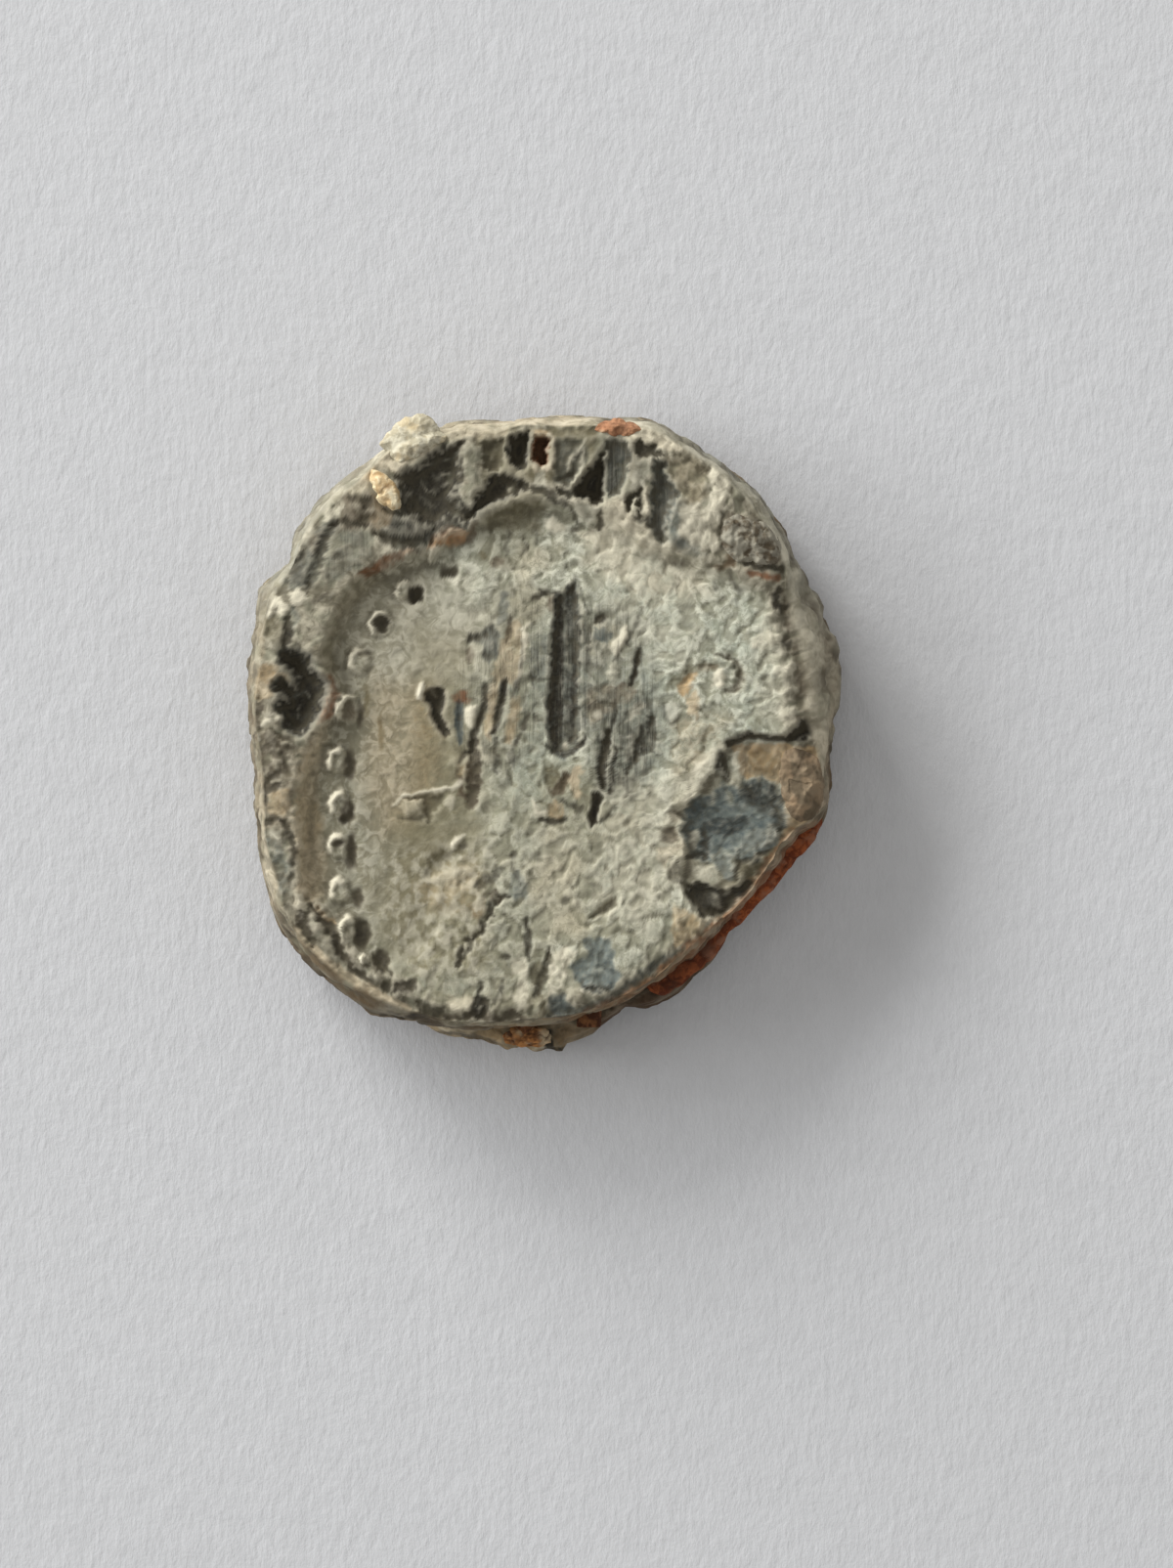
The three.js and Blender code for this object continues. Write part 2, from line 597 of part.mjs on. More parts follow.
function buildSeal() {
  const seal = new THREE.Group();
  const wireFinish = finish(0x7a4a30, 0.85, 0.2);
  const rust = rustSeamBody();
  const cutters = [frontFace(seamGap), backLeafBody(seamGap), rust];
  cutters.push(...[leftLeg, rightLeg].map((leg) => wireLegBody(leg, seamGap)));
  seal.add(
    mesh('front_leaf', frontLeaf(), finish(0xa7a795, 0.8, 0.1)),
    mesh('back_leaf', backLeaf(), finish(0x6f6557, 0.85, 0.1)),
    mesh('tie_wire_left', wireLegBody(leftLeg), wireFinish),
    mesh('tie_wire_right', wireLegBody(rightLeg), wireFinish),
    mesh('rust_seam', rust, finish(0x8a4a24, 0.95, 0)),
  );
  deposits.forEach((deposit) => {
    seal.add(mesh(deposit.name, depositBody(deposit, cutters), finish(deposit.colour, 0.95, 0)));
  });
  return seal;
}

export default buildSeal();
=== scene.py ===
import math
import bmesh
import bpy
import numpy as np
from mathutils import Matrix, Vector


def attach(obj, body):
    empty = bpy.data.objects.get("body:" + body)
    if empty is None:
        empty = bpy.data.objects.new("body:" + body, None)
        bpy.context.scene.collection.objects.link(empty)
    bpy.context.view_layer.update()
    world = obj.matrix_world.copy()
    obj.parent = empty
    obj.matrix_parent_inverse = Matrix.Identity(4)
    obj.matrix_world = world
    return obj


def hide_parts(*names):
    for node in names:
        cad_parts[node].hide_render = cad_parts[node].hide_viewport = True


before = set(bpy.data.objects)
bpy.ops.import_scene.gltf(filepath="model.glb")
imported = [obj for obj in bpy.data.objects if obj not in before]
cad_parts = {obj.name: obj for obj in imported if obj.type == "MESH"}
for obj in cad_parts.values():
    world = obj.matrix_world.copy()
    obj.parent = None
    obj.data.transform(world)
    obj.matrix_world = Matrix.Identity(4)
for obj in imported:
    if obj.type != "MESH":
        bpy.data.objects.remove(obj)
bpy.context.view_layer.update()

mm = 0.001

# the photograph's view, straight down onto the seal
photo = {
    "width": 1200,
    "height": 1604,
    "pixelSize": 0.0375,  # mm on the seal at middleHeight
    "middleX": 1.669,  # mm, what lies under the middle of the picture
    "middleY": -1.9125,
    "middleHeight": 2.5,
    "distance": 200.0,  # mm from the camera to middleHeight
    "sensor": 36.0,
    "clipStart": 0.005,  # metres
}


def toPhoto(x, y, z):
    scale = photo["distance"] / (photo["distance"] + photo["middleHeight"] - z) / photo["pixelSize"]
    px = photo["width"] / 2 + (x - photo["middleX"]) * scale
    py = photo["height"] / 2 - (y - photo["middleY"]) * scale
    return px, py


def fromPhoto(px, py, z):
    scale = photo["pixelSize"] * (photo["distance"] + photo["middleHeight"] - z) / photo["distance"]
    x = photo["middleX"] + (px - photo["width"] / 2) * scale
    y = photo["middleY"] - (py - photo["height"] / 2) * scale
    return x, y


cameraData = bpy.data.cameras.new("photoCamera")
cameraData.sensor_fit = "VERTICAL"
cameraData.sensor_height = photo["sensor"]
cameraData.lens = photo["sensor"] * photo["distance"] / (photo["height"] * photo["pixelSize"])
cameraData.clip_start = photo["clipStart"]
camera = bpy.data.objects.new("photoCamera", cameraData)
camera.location = (
    photo["middleX"] * mm,
    photo["middleY"] * mm,
    (photo["middleHeight"] + photo["distance"]) * mm,
)
bpy.context.scene.collection.objects.link(camera)
bpy.context.scene.camera = camera
print("camera set")


# noise for rough surfaces, the same on every run
def smoothStep(value, low, high):
    t = np.clip((value - low) / (high - low), 0, 1)
    return t * t * (3 - 2 * t)


def softNoise(x, y, cell, seed):
    turns = np.random.default_rng(seed).random((128, 128)) * 2 * np.pi
    u = (x * 0.829 - y * 0.559) / cell + seed * 3.7
    v = (x * 0.559 + y * 0.829) / cell - seed * 1.9
    i, j = np.floor(u).astype(int), np.floor(v).astype(int)
    fu, fv = u - i, v - j
    su = fu * fu * fu * (fu * (fu * 6 - 15) + 10)
    sv = fv * fv * fv * (fv * (fv * 6 - 15) + 10)
    total = 0
    for di in (0, 1):
        for dj in (0, 1):
            turn = turns[(i + di) % 128, (j + dj) % 128]
            weight = (su if di else 1 - su) * (sv if dj else 1 - sv)
            total = total + weight * (np.cos(turn) * (fu - di) + np.sin(turn) * (fv - dj))
    return total * 1.6


def roughNoise(x, y, cell, seed, layers=4, gain=0.55):
    total, size = 0, 1.0
    for layer in range(layers):
        total = total + size * softNoise(x, y, cell / 2 ** layer, seed + layer * 17)
        size *= gain
    return total


# lines round the seal, in the photograph's pixels
sealMiddle = (555.5, 751.0)

sealLines = {
    "outline": [
        (251, 706), (254, 690), (257, 665), (260, 640), (262, 620), (264, 605), (270, 592), (277, 586),
        (288, 583), (294, 577), (298, 560), (301, 545), (308, 532), (318, 520), (328, 508), (340, 500),
        (350, 490), (360, 482), (372, 474), (385, 464), (396, 455), (410, 446), (424, 441), (438, 440),
        (450, 438), (462, 434), (474, 430), (492, 436), (505, 436), (515, 435), (522, 430), (535, 427),
        (550, 426), (565, 425), (580, 430), (600, 430), (620, 427), (635, 430), (655, 425), (667, 428),
        (683, 437), (695, 443), (705, 450), (722, 461), (740, 472), (750, 480), (760, 487), (768, 496),
        (778, 506), (788, 518), (797, 530), (804, 540), (809, 555), (812, 565), (817, 578), (822, 590),
        (830, 603), (838, 613), (842, 625), (848, 640), (852, 652), (857, 663), (860, 680), (859, 695),
        (856, 715), (853, 735), (850, 750), (849, 765), (850, 785), (853, 800), (850, 820), (845, 838),
        (840, 847), (833, 860), (825, 868), (812, 882), (800, 896), (790, 910), (775, 923), (765, 935),
        (757, 945), (745, 955), (740, 965), (735, 975), (728, 985), (720, 992), (710, 1000), (700, 1012),
        (690, 1020), (670, 1030), (655, 1034), (640, 1034), (625, 1043), (615, 1050), (607, 1058),
        (590, 1065),
        (580, 1068), (575, 1076), (560, 1078), (545, 1077), (535, 1073), (518, 1075), (510, 1070),
        (500, 1068),
        (485, 1065), (462, 1061), (452, 1059), (440, 1053), (430, 1048), (400, 1044), (385, 1044),
        (377, 1040),
        (368, 1030), (358, 1020), (345, 1013), (335, 1006), (325, 995), (315, 983), (303, 975),
        (295, 965),
        (287, 955), (280, 940), (276, 925), (272, 905), (267, 880), (262, 855), (263, 830), (262, 810),
        (260, 790), (257, 770), (256, 750), (256, 718),
    ],
    "crest": [  # the front leaf's edge, where its face turns down into its side
        (263, 712), (267, 690), (270, 660), (274, 638), (282, 615), (292, 598), (303, 576), (314, 550),
        (330, 530), (350, 512), (366, 498), (382, 482), (394, 468), (408, 458), (424, 452), (440, 450),
        (455, 447), (470, 443), (490, 445), (508, 446), (520, 441), (535, 437), (552, 437), (575, 439),
        (600, 438), (620, 438), (640, 440), (660, 441), (675, 447), (690, 456), (704, 464), (720, 475),
        (736, 487), (750, 500), (764, 514), (776, 530), (786, 546), (794, 562), (800, 577), (803, 592),
        (803, 610), (804, 628), (809, 645), (815, 665), (820, 690), (820, 715), (820, 735), (827, 750),
        (834, 765), (838, 785), (840, 805), (838, 825), (829, 838), (812, 849), (800, 862), (789, 880),
        (777, 897), (764, 915), (750, 930), (736, 942), (720, 956), (704, 970), (688, 984), (670, 1000),
        (653, 1012), (638, 1019), (620, 1028), (600, 1034), (580, 1039), (560, 1041), (540, 1043),
        (515, 1045),
        (490, 1046), (460, 1044), (434, 1037), (412, 1030), (388, 1018), (366, 1007), (346, 994),
        (332, 981),
        (314, 963), (300, 947), (292, 930), (287, 903), (279, 880), (273, 855), (273, 830), (272, 800),
        (269, 770), (264, 745),
    ],
    "fieldEdge": [  # the foot of the raised rim, where the sunken field begins
        (337, 710), (329, 690), (325, 665), (330, 645), (338, 625), (345, 610), (354, 598), (366, 588),
        (380, 580), (398, 572), (414, 564), (432, 556), (452, 545), (470, 536), (486, 526), (500, 517),
        (520, 511), (545, 505), (570, 505), (592, 514), (615, 518), (640, 528), (662, 545), (690, 558),
        (720, 565), (742, 578), (765, 590), (785, 598), (794, 610), (797, 630), (803, 648), (809, 668),
        (813, 690), (813, 715), (811, 735), (816, 752), (822, 768), (828, 788), (830, 805), (826, 822),
        (815, 833), (800, 842), (789, 855), (779, 874), (767, 892), (755, 908), (742, 922), (729, 934),
        (713, 948), (697, 961), (681, 976), (664, 991), (648, 1003), (633, 1010), (617, 1018),
        (598, 1024),
        (580, 1029), (560, 1031), (540, 1033), (515, 1035), (490, 1037), (460, 1036), (440, 1030),
        (420, 1022),
        (402, 1010), (384, 998), (366, 984), (352, 968), (340, 952), (326, 934), (312, 922), (303, 905),
        (299, 870), (299, 840), (301, 800), (306, 775), (319, 754), (332, 730),
    ],
    "frontFoot": [  # where the front leaf's side ends at the seam
        (256, 718), (252, 700), (262, 640), (266, 603), (296, 577), (303, 545), (330, 509), (372, 476),
        (424, 443), (474, 432), (522, 432), (565, 427), (620, 429), (667, 430), (722, 463), (778, 508),
        (811, 567), (838, 615), (858, 668), (855, 735), (848, 785), (846, 820), (836, 846), (815, 854),
        (804, 868), (794, 885), (780, 904), (765, 920), (750, 935), (739, 946), (720, 965), (700, 985),
        (680, 998), (660, 1010), (640, 1022), (610, 1034), (580, 1044), (555, 1047), (520, 1050),
        (480, 1052),
        (440, 1047), (400, 1040), (377, 1036), (345, 1011), (304, 973), (278, 925), (264, 855),
        (261, 790),
    ],
}


def aroundPoint(points, height, middle):
    # a line read off the photograph, as its distance from a middle at any angle
    middleX, middleY = fromPhoto(*middle, height)
    placed = np.array([fromPhoto(px, py, height) for px, py in points])
    dx, dy = placed[:, 0] - middleX, placed[:, 1] - middleY
    angles = np.degrees(np.arctan2(dy, dx)) % 360
    order = np.argsort(angles)
    reach = np.hypot(dx, dy)
    return lambda angle: np.interp(angle % 360, angles[order], reach[order], period=360)


def aroundValues(pairs):
    angles, values = zip(*pairs)
    return lambda angle: np.interp(angle % 360, angles, values, period=360)


leaf = {
    "seamLevel": 2.25,  # mm above the floor
    "fieldLevel": 4.15,
    "crustHeight": 0.26,
    "rimHeight": 0.95,
    "topFrom": 4.95,  # the rim's highest lumps are worn down above this
    "topSoft": 0.5,
    "edgeDrop": 0.2,
    "crestAbove": 0.6,  # mm over the field, the level that the crest was read off at
    "faceAbove": 0.4,  # the same for the marks on the face
    "bankWidth": 0.95,
    "faceShare": 0.87,  # of the grid's cells, the rest is the side
    "cells": 308,
    "walls": (0.97, 0.4),  # shares of the foot's reach that the underside steps in to
    "arcRadius": 11.5,  # mm, turns an angle into a distance along the side
    "rimShare": [
        (0, 0.3), (25, 0.35), (42, 0.6), (60, 0.85), (85, 1.0), (130, 1.0), (160, 0.9), (180, 0.8),
        (205, 0.72),
        (222, 0.6), (240, 0.5), (270, 0.36), (320, 0.28), (345, 0.28),
    ],
    # mm between the leaves
    "opening": [(280, 0.0), (290, 0.3), (305, 0.6), (335, 0.65), (342, 0.15), (347, 0.0)],
}

outlineAt = aroundPoint(sealLines["outline"], leaf["seamLevel"], sealMiddle)
crestAt = aroundPoint(sealLines["crest"], leaf["fieldLevel"] + leaf["crestAbove"], sealMiddle)
fieldEdgeAt = aroundPoint(sealLines["fieldEdge"], leaf["fieldLevel"] + leaf["crestAbove"], sealMiddle)
frontFootAt = aroundPoint(sealLines["frontFoot"], leaf["seamLevel"], sealMiddle)
rimShareAt = aroundValues(leaf["rimShare"])
openingAt = aroundValues(leaf["opening"])

# marks on the face, in the photograph's pixels: a closed shape, a path with half widths, or a spot with
# half sizes. depth is mm below the surface round it, slope the pixels it takes to reach that, edge how soft
# the outline is and ragged how far it wanders. erase takes earlier paint off, speckle breaks up the mark's
# own paint, and the rest are shares of paint
topMarks = {
    "hollow": dict(
        shape=[
            (402, 487), (414, 480), (430, 473), (440, 464), (452, 456), (466, 450), (478, 449),
            (474, 468),
            (476, 490), (468, 505), (482, 522), (476, 532), (460, 536), (445, 545), (433, 541),
            (420, 531),
            (412, 525), (410, 508), (407, 497),
        ],
        depth=0.55, slope=14, dark=0.9,
    ),
    "hollowFoldA": dict(path=[(432, 492), (436, 502), (446, 504)], width=1.6, depth=-0.06, erase=0.35),
    "hollowFoldB": dict(
        path=[(452, 486), (462, 484), (462, 492), (454, 498)],
        width=1.5, depth=-0.08, erase=0.5,
    ),
    "hollowFoldC": dict(
        path=[(444, 474), (460, 470), (471, 461)],
        width=1.8, depth=-0.08, erase=0.45, slate=0.3,
    ),
    "hollowFoldD": dict(
        path=[(406, 530), (424, 534), (438, 541)],
        width=1.6, depth=-0.05, erase=0.2, slate=0.3,
    ),
    "hollowFoldE": dict(
        path=[(458, 510), (467, 518), (470, 534)],
        width=1.8, depth=-0.06, erase=0.4, slate=0.3,
    ),
    "hollowGrit": dict(spot=(410, 492), half=(3.5, 3), depth=-0.06, erase=1, slate=0.3, cream=0.3),
    "pillarShade": dict(
        shape=[
            (492, 452), (504, 450), (516, 447), (521, 453), (517, 470), (514, 484), (498, 486),
            (492, 470),
        ],
        depth=0.25, slope=8, dark=0.5, olive=0.4,
    ),
    "pillar": dict(
        shape=[
            (474, 456), (487, 452), (492, 463), (489, 483), (493, 497), (484, 511), (474, 506),
            (479, 494), (473, 476),
        ],
        depth=-0.1, slope=6, erase=0.85, olive=0.45, slate=0.2, edge=3,
    ),
    "blackBand": dict(
        shape=[
            (494, 498), (503, 486), (520, 486), (541, 494), (545, 501), (532, 508), (520, 512),
            (505, 517),
            (490, 525), (482, 533), (470, 535), (482, 520), (487, 510),
        ],
        depth=0.45, slope=8, dark=0.97,
    ),
    "bandChip": dict(spot=(523, 501), half=(5, 4), depth=-0.12, erase=0.9),
    "bandTail": dict(
        path=[
            (482, 526), (470, 534), (452, 541), (441, 549), (428, 556), (410, 557), (396, 551),
            (384, 546),
        ],
        width=[6, 6, 5, 6, 7, 5, 4, 2], depth=0.2, dark=0.85, edge=4,
    ),
    "stain": dict(
        shape=[
            (446, 545), (456, 538), (470, 540), (478, 546), (474, 554), (462, 558), (447, 559),
            (437, 561), (439, 551),
        ],
        tan=0.7, earth=0.3, rust=0.4,
    ),
    "stainShade": dict(
        shape=[(478, 533), (490, 527), (487, 545), (479, 556), (469, 559), (475, 548)],
        earth=0.75, dark=0.2,
    ),
    # brown and rust on the rim's inner bank, partly its own colour and partly painted shade where the bank
    # faces away from the light
    "bankBrownShade": dict(
        shape=[
            (366, 588), (383, 576), (397, 569), (412, 561), (426, 562), (414, 571), (400, 580),
            (388, 586), (374, 592),
        ],
        earth=0.9, rust=0.25, depth=0.06,
    ),
    # painted shade: olive and brown on the rim's inner bank, which faces away from the light
    "bankShadeBand": dict(
        shape=[
            (352, 602), (362, 590), (378, 583), (388, 586), (385, 598), (372, 610), (357, 628),
            (347, 645),
            (341, 662), (341, 684), (340, 700), (329, 684), (323, 664), (329, 648), (338, 630),
            (344, 612),
        ],
        olive=0.38, earth=0.1, edge=4,
    ),
    "slabGrey": dict(
        shape=[
            (345, 545), (358, 541), (386, 546), (388, 553), (378, 557), (381, 567), (369, 573),
            (372, 581), (352, 590), (340, 598), (330, 590), (331, 575), (340, 562), (350, 558),
        ],
        slate=0.25, olive=0.25, erase=0.7, streak=0.4, edge=4,
    ),
    "slabPit": dict(spot=(346, 571), half=(5, 4), dark=0.35, depth=0.06),
    "fallLine": dict(
        path=[(344, 535), (333, 552), (328, 568), (322, 585), (316, 602)],
        width=[3, 5, 5, 6, 3], dark=0.75, depth=0.14, speckle=0.3,
    ),
    "fallShade": dict(
        shape=[
            (313, 559), (322, 568), (318, 590), (318, 600), (306, 602), (297, 596), (291, 599),
            (292, 590), (302, 572),
        ],
        dark=0.5, slate=0.3, depth=0.08,
    ),
    "fallPurple": dict(
        shape=[(318, 548), (328, 545), (328, 558), (322, 567), (315, 560)],
        earth=0.35, tan=0.25,
    ),
    "fallDash": dict(path=[(342, 537), (355, 535), (376, 538)], width=4, dark=0.9, earth=0.2, depth=0.1),
    "knobA": dict(spot=(362, 511), half=(6, 5), dark=0.6, depth=0.1),
    "knobB": dict(spot=(374, 516), half=(8, 7), dark=0.7, depth=0.12),
    "knobC": dict(spot=(378, 531), half=(12, 5), dark=0.5, earth=0.3, depth=0.1),
    "chipCream": dict(
        shape=[(330, 536), (333, 525), (345, 519), (353, 518), (348, 527), (339, 533)],
        cream=0.6, depth=-0.06,
    ),
    "stepCream": dict(
        shape=[
            (304, 565), (306, 549), (312, 542), (323, 539), (318, 552), (313, 560), (306, 571),
            (303, 583), (296, 592), (291, 590), (298, 576),
        ],
        cream=0.5,
    ),
    "lipCream": dict(
        shape=[
            (352, 500), (370, 486), (388, 468), (402, 450), (420, 438), (445, 444), (470, 440),
            (520, 438),
            (518, 446), (500, 450), (478, 447), (452, 454), (435, 466), (415, 477), (402, 485),
            (395, 480),
            (384, 476), (378, 492), (372, 505), (360, 506),
        ],
        cream=0.3, tan=0.25,
    ),
    "lipDent": dict(path=[(408, 452), (418, 448), (428, 450)], width=2, olive=0.6, depth=0.05),
    "flakeTail": dict(spot=(376, 485), half=(9, 6), turn=-40, tan=0.7, cream=0.2),
    "lipGrey": dict(
        path=[(398, 470), (406, 462), (416, 458)],
        width=2.6, dark=0.3, earth=0.3, depth=0.05,
    ),
    "flakeShade": dict(
        path=[(411, 498), (413, 512), (410, 525), (401, 526), (392, 520)],
        width=3, dark=0.85, depth=0.12,
    ),
    "flakeBed": dict(
        shape=[(380, 505), (392, 516), (405, 524), (400, 540), (385, 542), (376, 530), (386, 520)],
        tan=0.2, earth=0.6, dark=0.3, erase=0.3,
    ),
    "headPit": dict(
        shape=[
            (521, 446), (532, 441), (543, 441), (545, 452), (543, 464), (541, 475), (538, 481),
            (528, 481), (519, 474), (517, 462), (519, 452),
        ],
        depth=0.65, slope=9, dark=1.0,
    ),
    "windowRing": dict(
        path=[(562, 445), (568, 453), (566, 470), (562, 481), (553, 483), (545, 479)],
        width=2.6, depth=-0.05, erase=0.9, cream=0.25, tan=0.35,
    ),
    "window": dict(
        shape=[
            (547, 448), (556, 446), (561, 452), (560, 465), (558, 475), (552, 478), (546, 474),
            (545, 462),
        ],
        depth=0.9, slope=5, rust=1.0, dark=0.3, erase=1,
    ),
    "windowTop": dict(
        shape=[(544, 441), (562, 440), (560, 448), (546, 449)],
        tan=0.6, earth=0.4, erase=0.5,
    ),
    "paleFoot": dict(
        shape=[(550, 483), (556, 484), (559, 497), (552, 499), (545, 496)],
        cream=0.5, slate=0.1, erase=0.9,
    ),
    "greyLeft": dict(
        shape=[(568, 450), (598, 450), (602, 470), (592, 488), (580, 498), (568, 494), (566, 470)],
        depth=0.14, slope=6, dark=0.5, slate=0.4, edge=4,
    ),
    "greyLow": dict(
        shape=[(572, 490), (580, 484), (588, 481), (592, 488), (584, 500), (574, 498)],
        depth=0.12, dark=0.6,
    ),
    "streakPaleA": dict(
        path=[(600, 450), (591, 461), (583, 474), (580, 482)],
        width=2.2, cream=0.35, depth=-0.08, erase=0.7,
    ),
    "streakPaleB": dict(
        path=[(597, 460), (594, 477), (588, 492)],
        width=2.4, cream=0.4, depth=-0.08, erase=0.7,
    ),
    "streakDarkA": dict(path=[(592, 455), (588, 464), (590, 476)], width=1.8, dark=0.6),
    "streakDarkB": dict(path=[(604, 462), (599, 472)], width=2.4, dark=0.5),
    "blackHollow": dict(
        shape=[
            (618, 462), (620, 480), (619, 500), (618, 513), (610, 518), (600, 512), (588, 510),
            (586, 499), (594, 488), (601, 480), (609, 472),
        ],
        depth=0.8, slope=7, dark=1.0,
    ),
    "blackTail": dict(
        shape=[(566, 498), (576, 500), (590, 503), (592, 511), (580, 511), (570, 505)],
        depth=0.15, dark=0.85,
    ),
    "greyStair": dict(
        shape=[
            (619, 450), (640, 451), (646, 470), (641, 488), (633, 508), (620, 509), (618, 490),
            (620, 465),
        ],
        depth=0.3, slope=4, dark=0.5, slate=0.5, streak=0.8,
    ),
    "stairEdge": dict(path=[(642, 458), (648, 468), (646, 478)], width=2.6, dark=0.7, earth=0.3),
    "archDark": dict(
        shape=[(647, 455), (655, 450), (668, 455), (682, 466), (672, 469), (655, 469), (649, 463)],
        depth=0.25, slope=4, dark=0.9,
    ),
    "archPale": dict(
        shape=[(651, 472), (664, 470), (664, 484), (656, 500), (645, 505), (645, 490)],
        slate=0.15, cream=0.2, erase=0.4,
    ),
    "slitLeft": dict(
        shape=[
            (639, 515), (645, 507), (652, 502), (656, 499), (654, 508), (648, 513), (647, 521),
            (643, 524),
        ],
        depth=0.25, slope=3, dark=0.95, earth=0.2,
    ),
    "slitRight": dict(path=[(654, 508), (655, 518), (655, 529)], width=2.2, depth=0.2, dark=0.9),
    "slitPaleLeft": dict(
        path=[(650, 510), (650, 520), (652, 527)],
        width=2, cream=0.5, depth=-0.05, erase=0.9,
    ),
    "slitPaleRight": dict(
        path=[(660, 499), (661, 512), (661, 527)],
        width=2.4, cream=0.6, tan=0.2, depth=-0.08, erase=0.9,
    ),
    "slitFoot": dict(
        shape=[(646, 526), (656, 530), (664, 528), (668, 545), (660, 537), (652, 535)],
        depth=0.1, dark=0.6, slate=0.2,
    ),
    "longSlate": dict(
        shape=[
            (667, 472), (681, 472), (682, 484), (688, 494), (695, 502), (694, 510), (688, 520),
            (684, 535),
            (682, 545), (683, 552), (676, 557), (669, 550), (664, 538), (665, 520), (666, 500),
            (667, 485),
        ],
        depth=0.36, slope=7, dark=0.58, slate=0.55, streak=0.5,
    ),
    "longFade": dict(
        shape=[
            (684, 510), (696, 512), (704, 522), (698, 545), (716, 556), (716, 568), (690, 562),
            (680, 552),
        ],
        edge=6, slate=0.5, erase=0.4,
    ),
    "longSlateLit": dict(path=[(686, 510), (684, 528), (679, 540)], width=3, slate=0.6, erase=0.3),
    "recess": dict(
        shape=[
            (680, 466), (700, 464), (718, 470), (728, 480), (723, 492), (720, 508), (712, 520),
            (703, 516), (694, 504), (686, 494), (681, 480),
        ],
        depth=0.22, slope=12, olive=0.2, tan=0.08, smooth=0.95, edge=5,
    ),
    "recessTop": dict(path=[(690, 466), (708, 464), (722, 472)], width=3, dark=0.25, olive=0.3),
    "ridgeCream": dict(
        shape=[
            (724, 482), (736, 474), (746, 482), (749, 500), (742, 518), (738, 530), (735, 545),
            (736, 560), (728, 566), (722, 558), (721, 530), (725, 515), (728, 498),
        ],
        depth=-0.08, slope=5, cream=0.85,
    ),
    "blueGreen": dict(
        shape=[(696, 518), (712, 516), (724, 525), (726, 545), (721, 560), (706, 558), (694, 545)],
        slate=0.12, cream=0.6, erase=0.5, edge=4,
    ),
    "blueDark": dict(
        path=[(684, 552), (694, 558), (706, 563), (718, 568)],
        width=[4, 4, 4, 2], slate=0.25, dark=0.1,
    ),
    "peach": dict(
        shape=[
            (615, 520), (628, 510), (640, 515), (652, 532), (640, 552), (620, 560), (600, 556),
            (590, 545), (608, 538),
        ],
        cream=0.45, tan=0.2,
    ),
    "creamFold": dict(
        shape=[(558, 530), (567, 525), (571, 535), (580, 540), (568, 544), (558, 542)],
        cream=0.8, depth=-0.06,
    ),
    "paleFan": dict(
        shape=[(589, 523), (600, 515), (613, 520), (612, 533), (600, 538), (593, 532)],
        cream=0.35, slate=0.2, depth=-0.06,
    ),
    "fanDark": dict(path=[(585, 520), (590, 532), (596, 541)], width=2.2, dark=0.6, depth=0.08),
    "fanBrown": dict(spot=(588, 542), half=(7, 3), dark=0.6, earth=0.3, depth=0.08),
    "notchDark": dict(path=[(614, 524), (615, 533), (613, 540)], width=[2.5, 3, 2], dark=0.7, depth=0.12),
    "greyUnder": dict(
        path=[(548, 501), (558, 503), (570, 512), (580, 517)],
        width=[4, 5, 5, 3], dark=0.6, depth=0.1,
    ),
    "foldLineA": dict(
        path=[(521, 545), (519, 558), (518, 570)],
        width=3, dark=0.35, olive=0.3, depth=0.06,
    ),
    "foldLineB": dict(path=[(536, 550), (538, 560), (534, 570)], width=2.2, dark=0.4, depth=0.06),
    "foldLineC": dict(path=[(549, 538), (550, 548), (548, 558)], width=2, dark=0.4, depth=0.05),
    "foldBrown": dict(spot=(508, 574), half=(8, 5), turn=-20, earth=0.6, dark=0.2, depth=0.05),
    "foldOlive": dict(spot=(494, 568), half=(6, 5), olive=0.8, dark=0.15),
    "scab": dict(
        shape=[
            (738, 530), (752, 525), (770, 529), (788, 535), (800, 548), (806, 570), (795, 580),
            (770, 579), (750, 570), (740, 560), (735, 545),
        ],
        dark=0.4, earth=0.5, depth=-0.03, speckle=0.6,
    ),
    "scabEdge": dict(
        path=[(738, 523), (739, 536), (736, 550), (742, 562)],
        width=3, dark=0.5, depth=0.08,
    ),
    "scabLine": dict(
        path=[(762, 576), (780, 580), (800, 582), (807, 575), (803, 565)],
        width=[3, 3.5, 4, 3, 2], dark=0.85, earth=0.2, depth=0.1,
    ),
    "scabRust": dict(
        path=[(764, 586), (780, 588), (796, 590)],
        width=[2, 3.4, 3], rust=0.55, earth=0.4, dark=0.15, depth=0.05,
    ),
    "scabTail": dict(
        shape=[(728, 577), (738, 578), (744, 567), (750, 563), (756, 572), (750, 581), (735, 583)],
        earth=0.8, olive=0.5, dark=0.2, depth=0.06,
    ),
    "scabHook": dict(
        shape=[(789, 608), (795, 600), (800, 604), (798, 613), (804, 622), (801, 629), (793, 622)],
        dark=0.85, earth=0.3, depth=0.12,
    ),
}

